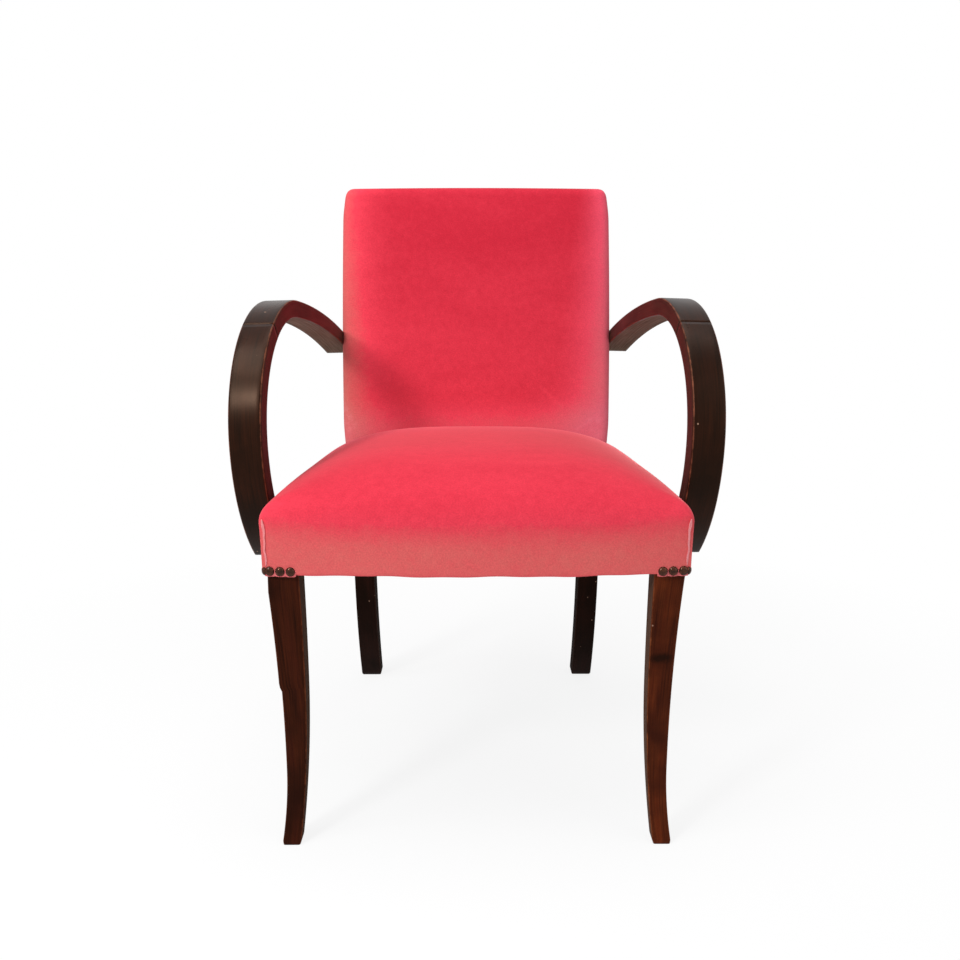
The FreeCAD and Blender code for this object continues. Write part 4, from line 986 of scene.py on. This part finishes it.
def heads(name, spots, radius, height, length, finish):
    """One mesh of heads. Spots are a place in millimetres, the way out and the way along."""
    mesh = bpy.data.meshes.new(name)
    mesh.from_pydata(in_metres(spot[0] for spot in spots), [], [])
    for label, n in (("out", 1), ("along", 2)):
        ways = mesh.attributes.new(label, "FLOAT_VECTOR", "POINT")
        ways.data.foreach_set("vector", [c for spot in spots for c in spot[n]])
    made = stand(name, mesh)
    rows = made.modifiers.new("heads", "NODES")
    rows.node_group = domed_heads
    values = {"Head radius": radius * MM, "Head height": height * MM, "Head length": length * MM,
              "Finish": finish}
    for item in domed_heads.interface.items_tree:
        if item.in_out == "INPUT" and item.name in values:
            rows[item.identifier] = values[item.name]
    apply_modifiers(made)
    return made


NAIL_Z, NAIL_PITCH, NAIL_RADIUS, NAIL_HEIGHT, NAILS = 347.2, 12.0, 5.6, 3.4, 3
FIRST_NAIL, SIDE_NAIL = 233.75 + 1.2, -0.5
TAB_TOP, TAB_DROP, TAB_END, TAB_THICK = 348.0, 6.5, 6.0, 1.4
for side, name in ((1, "right"), (-1, "left")):
    spots = []
    for k in range(NAILS):
        x = FIRST_NAIL - NAIL_PITCH * k
        spots.append(((side * x, front_y(x, NAIL_Z) - 0.2, NAIL_Z), (0.0, -1.0, 0.0), (1.0, 0.0, 0.0)))
    for k in range(NAILS):
        y = SIDE_NAIL + NAIL_PITCH * k
        share = (SHOULDER - NAIL_Z) / (SHOULDER - SEAT_LOW)
        x = side_x(y) + GROW - SKIRT_DRAW * share + (0.2 if k else 0.0)
        out = (side * 0.996, 0.088, 0.0) if k else (side * 0.94, -0.34, 0.0)
        spots.append(((side * x, y, NAIL_Z), out, (0.0, 1.0, 0.0)))
    nails = heads(f"domed_nails_{name}", spots, NAIL_RADIUS, NAIL_HEIGHT, NAIL_RADIUS, bronze)
    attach(nails, "root")
    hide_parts(f"decorative_nails_{name}")

    tabs = []
    for across in (True, False):
        rows = []
        for k in np.linspace(-5.6 if across else 5.0, (NAILS - 1) * NAIL_PITCH + TAB_END, 40):
            drop = min(abs(k - NAIL_PITCH * n) for n in range(NAILS))
            low = NAIL_Z - TAB_DROP + 0.7 * (drop / 6.0) ** 2
            if across:
                x = FIRST_NAIL - k
                y = front_y(x, NAIL_Z)
                rows.append([(x, y - 0.3, TAB_TOP), (x, y - 0.3, low),
                             (x, y + TAB_THICK, low), (x, y + TAB_THICK, TAB_TOP)])
            else:
                y = SIDE_NAIL + k
                x = side_x(y) + GROW - 4.6
                rows.append([(x + 0.3, y, low), (x + 0.3, y, TAB_TOP),
                             (x - TAB_THICK, y, TAB_TOP), (x - TAB_THICK, y, low)])
        tabs.append(stick(rows, 0.3, side))
    tab = timber(f"nail_tab_{name}", tabs, velvet)
    set_pile_and_painted_light(tab, lambda p: (0.78, 0.2))
    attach(tab, "root")


# Seam of the outside back: slip stitches in cotton thread, 9 mm apart, along both sides and the top,
# where the panel's turned edge meets the cover. The thread is matt and a shade deeper than the velvet,
# with a twist of about 1 mm.
thread, tree, _, tone = spotted("cotton_sewing_thread", 900.0, 2.0, "#8E1F2C", "#C23A48")
shell = add(tree, "BsdfPrincipled", {"Base Color": tone, "Roughness": 0.8})
add(tree, "OutputMaterial", {"Surface": shell})

STITCH_PITCH, STITCH_PROUD, TOP_SEAM = 9.0, 0.6, 403.6
STITCH_RADIUS, STITCH_HEIGHT, STITCH_HALF = 0.55, 0.7, 2.0
back_out, back_up = (0.0, math.cos(LEAN), -math.sin(LEAN)), (0.0, math.sin(LEAN), math.cos(LEAN))
spots = []
for up in np.arange(16.0, 400.0, STITCH_PITCH):
    y, z = on_back(post_depth(up) + STITCH_PROUD, up)
    for side in (1, -1):
        spots.append(((side * (PANEL_HALF + 0.5), y, z), back_out, back_up))
y, z = on_back(post_depth(TOP_SEAM) + STITCH_PROUD, TOP_SEAM)
for x in np.arange(-198.0, 199.0, STITCH_PITCH):
    spots.append(((x, y, z), back_out, (1.0, 0.0, 0.0)))
seam = heads("outside_back_stitches", spots, STITCH_RADIUS, STITCH_HEIGHT, STITCH_HALF, thread)
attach(seam, "root")


# Dust cloth: black cotton cambric over the underside of the frame, its edge turned under and tacked
# to the rails. Plain-woven, matt, with a grey bloom of dust. Its threads are about 0.5 mm apart and
# are drawn 1.5 mm apart so that they show.
cambric, tree, place = new_finish("woven_cotton_cambric")
warp, weft = (add(tree, "TexWave", {"Vector": place, "Scale": 210.0, "Distortion": 0.4},
                  bands_direction=way).outputs["Fac"] for way in ("X", "Y"))
weave = add(tree, "Math", {0: warp, 1: weft}, operation="MULTIPLY")
dust = add(tree, "TexNoise", {"Vector": place, "Scale": 30.0, "Detail": 4.0})
tone = add(tree, "Mix", {0: weave, 6: linear("#16161A"), 7: linear("#2C2B2E")}, data_type="RGBA").outputs[2]
grey = add(tree, "MapRange", {0: dust, 1: 0.45, 2: 0.75, 3: 0.0, 4: 0.4})
tone = add(tree, "Mix", {0: grey, 6: tone, 7: linear("#4A4743")}, data_type="RGBA").outputs[2]
bump = add(tree, "Bump", {"Height": weave, "Strength": 0.3, "Distance": 0.0004})
shell = add(tree, "BsdfPrincipled", {"Base Color": tone, "Roughness": 0.92, "Normal": bump,
                                     "Specular IOR Level": 0.2})
add(tree, "OutputMaterial", {"Surface": shell})

CLOTH_INSET, CLOTH_Z, CLOTH_REAR, CLOTH_SAG, CELLS = 9.0, 342.2, 477.0, 3.0, 44
points = []
for r in range(CELLS + 1):
    for c in range(CELLS + 1):
        u, v = 2.0 * c / CELLS - 1.0, r / CELLS
        low_y = CLOTH_INSET - FRONT_BOW * (1.0 - u * u)
        y = low_y + (CLOTH_REAR - low_y) * v
        x = u * (side_x(min(y, POST_FRONT)) - CLOTH_INSET)
        sag = CLOTH_SAG * (1.0 - u ** 4) * (1.0 - (2.0 * v - 1.0) ** 4)
        points.append((x, y, CLOTH_Z - sag))
faces = [quad[:1] + quad[:0:-1] for quad in grid_faces(CELLS, CELLS)]
under = cloth_mesh("dust_cloth_cambric", points, faces)
thicken(under, 0.0009, 0.0)
under.data.materials.append(cambric)
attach(under, "root")
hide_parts("dust_cloth")


# Tacks: small heads of blued steel that hold the dust cloth to the underside of the rails, driven
# about 37 to 43 mm apart. Dark, with a dull gleam and specks of rust about 3 mm wide.
blued, tree, rust, tone = spotted("blued_steel_tack", 300.0, 3.0, "#23272E", "#3F3630")
rough = add(tree, "MapRange", {0: rust, 1: 0.3, 2: 0.7, 3: 0.35, 4: 0.6})
shell = add(tree, "BsdfPrincipled", {"Base Color": tone, "Metallic": 0.9, "Roughness": rough})
add(tree, "OutputMaterial", {"Surface": shell})

TACK_RADIUS, TACK_HEIGHT, TACK_INSET = 2.8, 1.1, 8.0
places = []
for x in np.linspace(-185.0, 185.0, 11):
    places.append((x, CLOTH_INSET - FRONT_BOW * (1.0 - (x / side_x(0.0)) ** 2) + TACK_INSET))
for y in np.linspace(52.0, 425.0, 10):
    places += [(side * (side_x(y) - CLOTH_INSET - TACK_INSET), y) for side in (1, -1)]
for x in np.linspace(-150.0, 150.0, 8):
    places.append((x, CLOTH_REAR - TACK_INSET))
spots = [((x, y, CLOTH_Z - 0.5), (0.0, 0.0, -1.0), (1.0, 0.0, 0.0)) for x, y in places]
tacks = heads("dust_cloth_tacks", spots, TACK_RADIUS, TACK_HEIGHT, TACK_RADIUS, blued)
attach(tacks, "root")
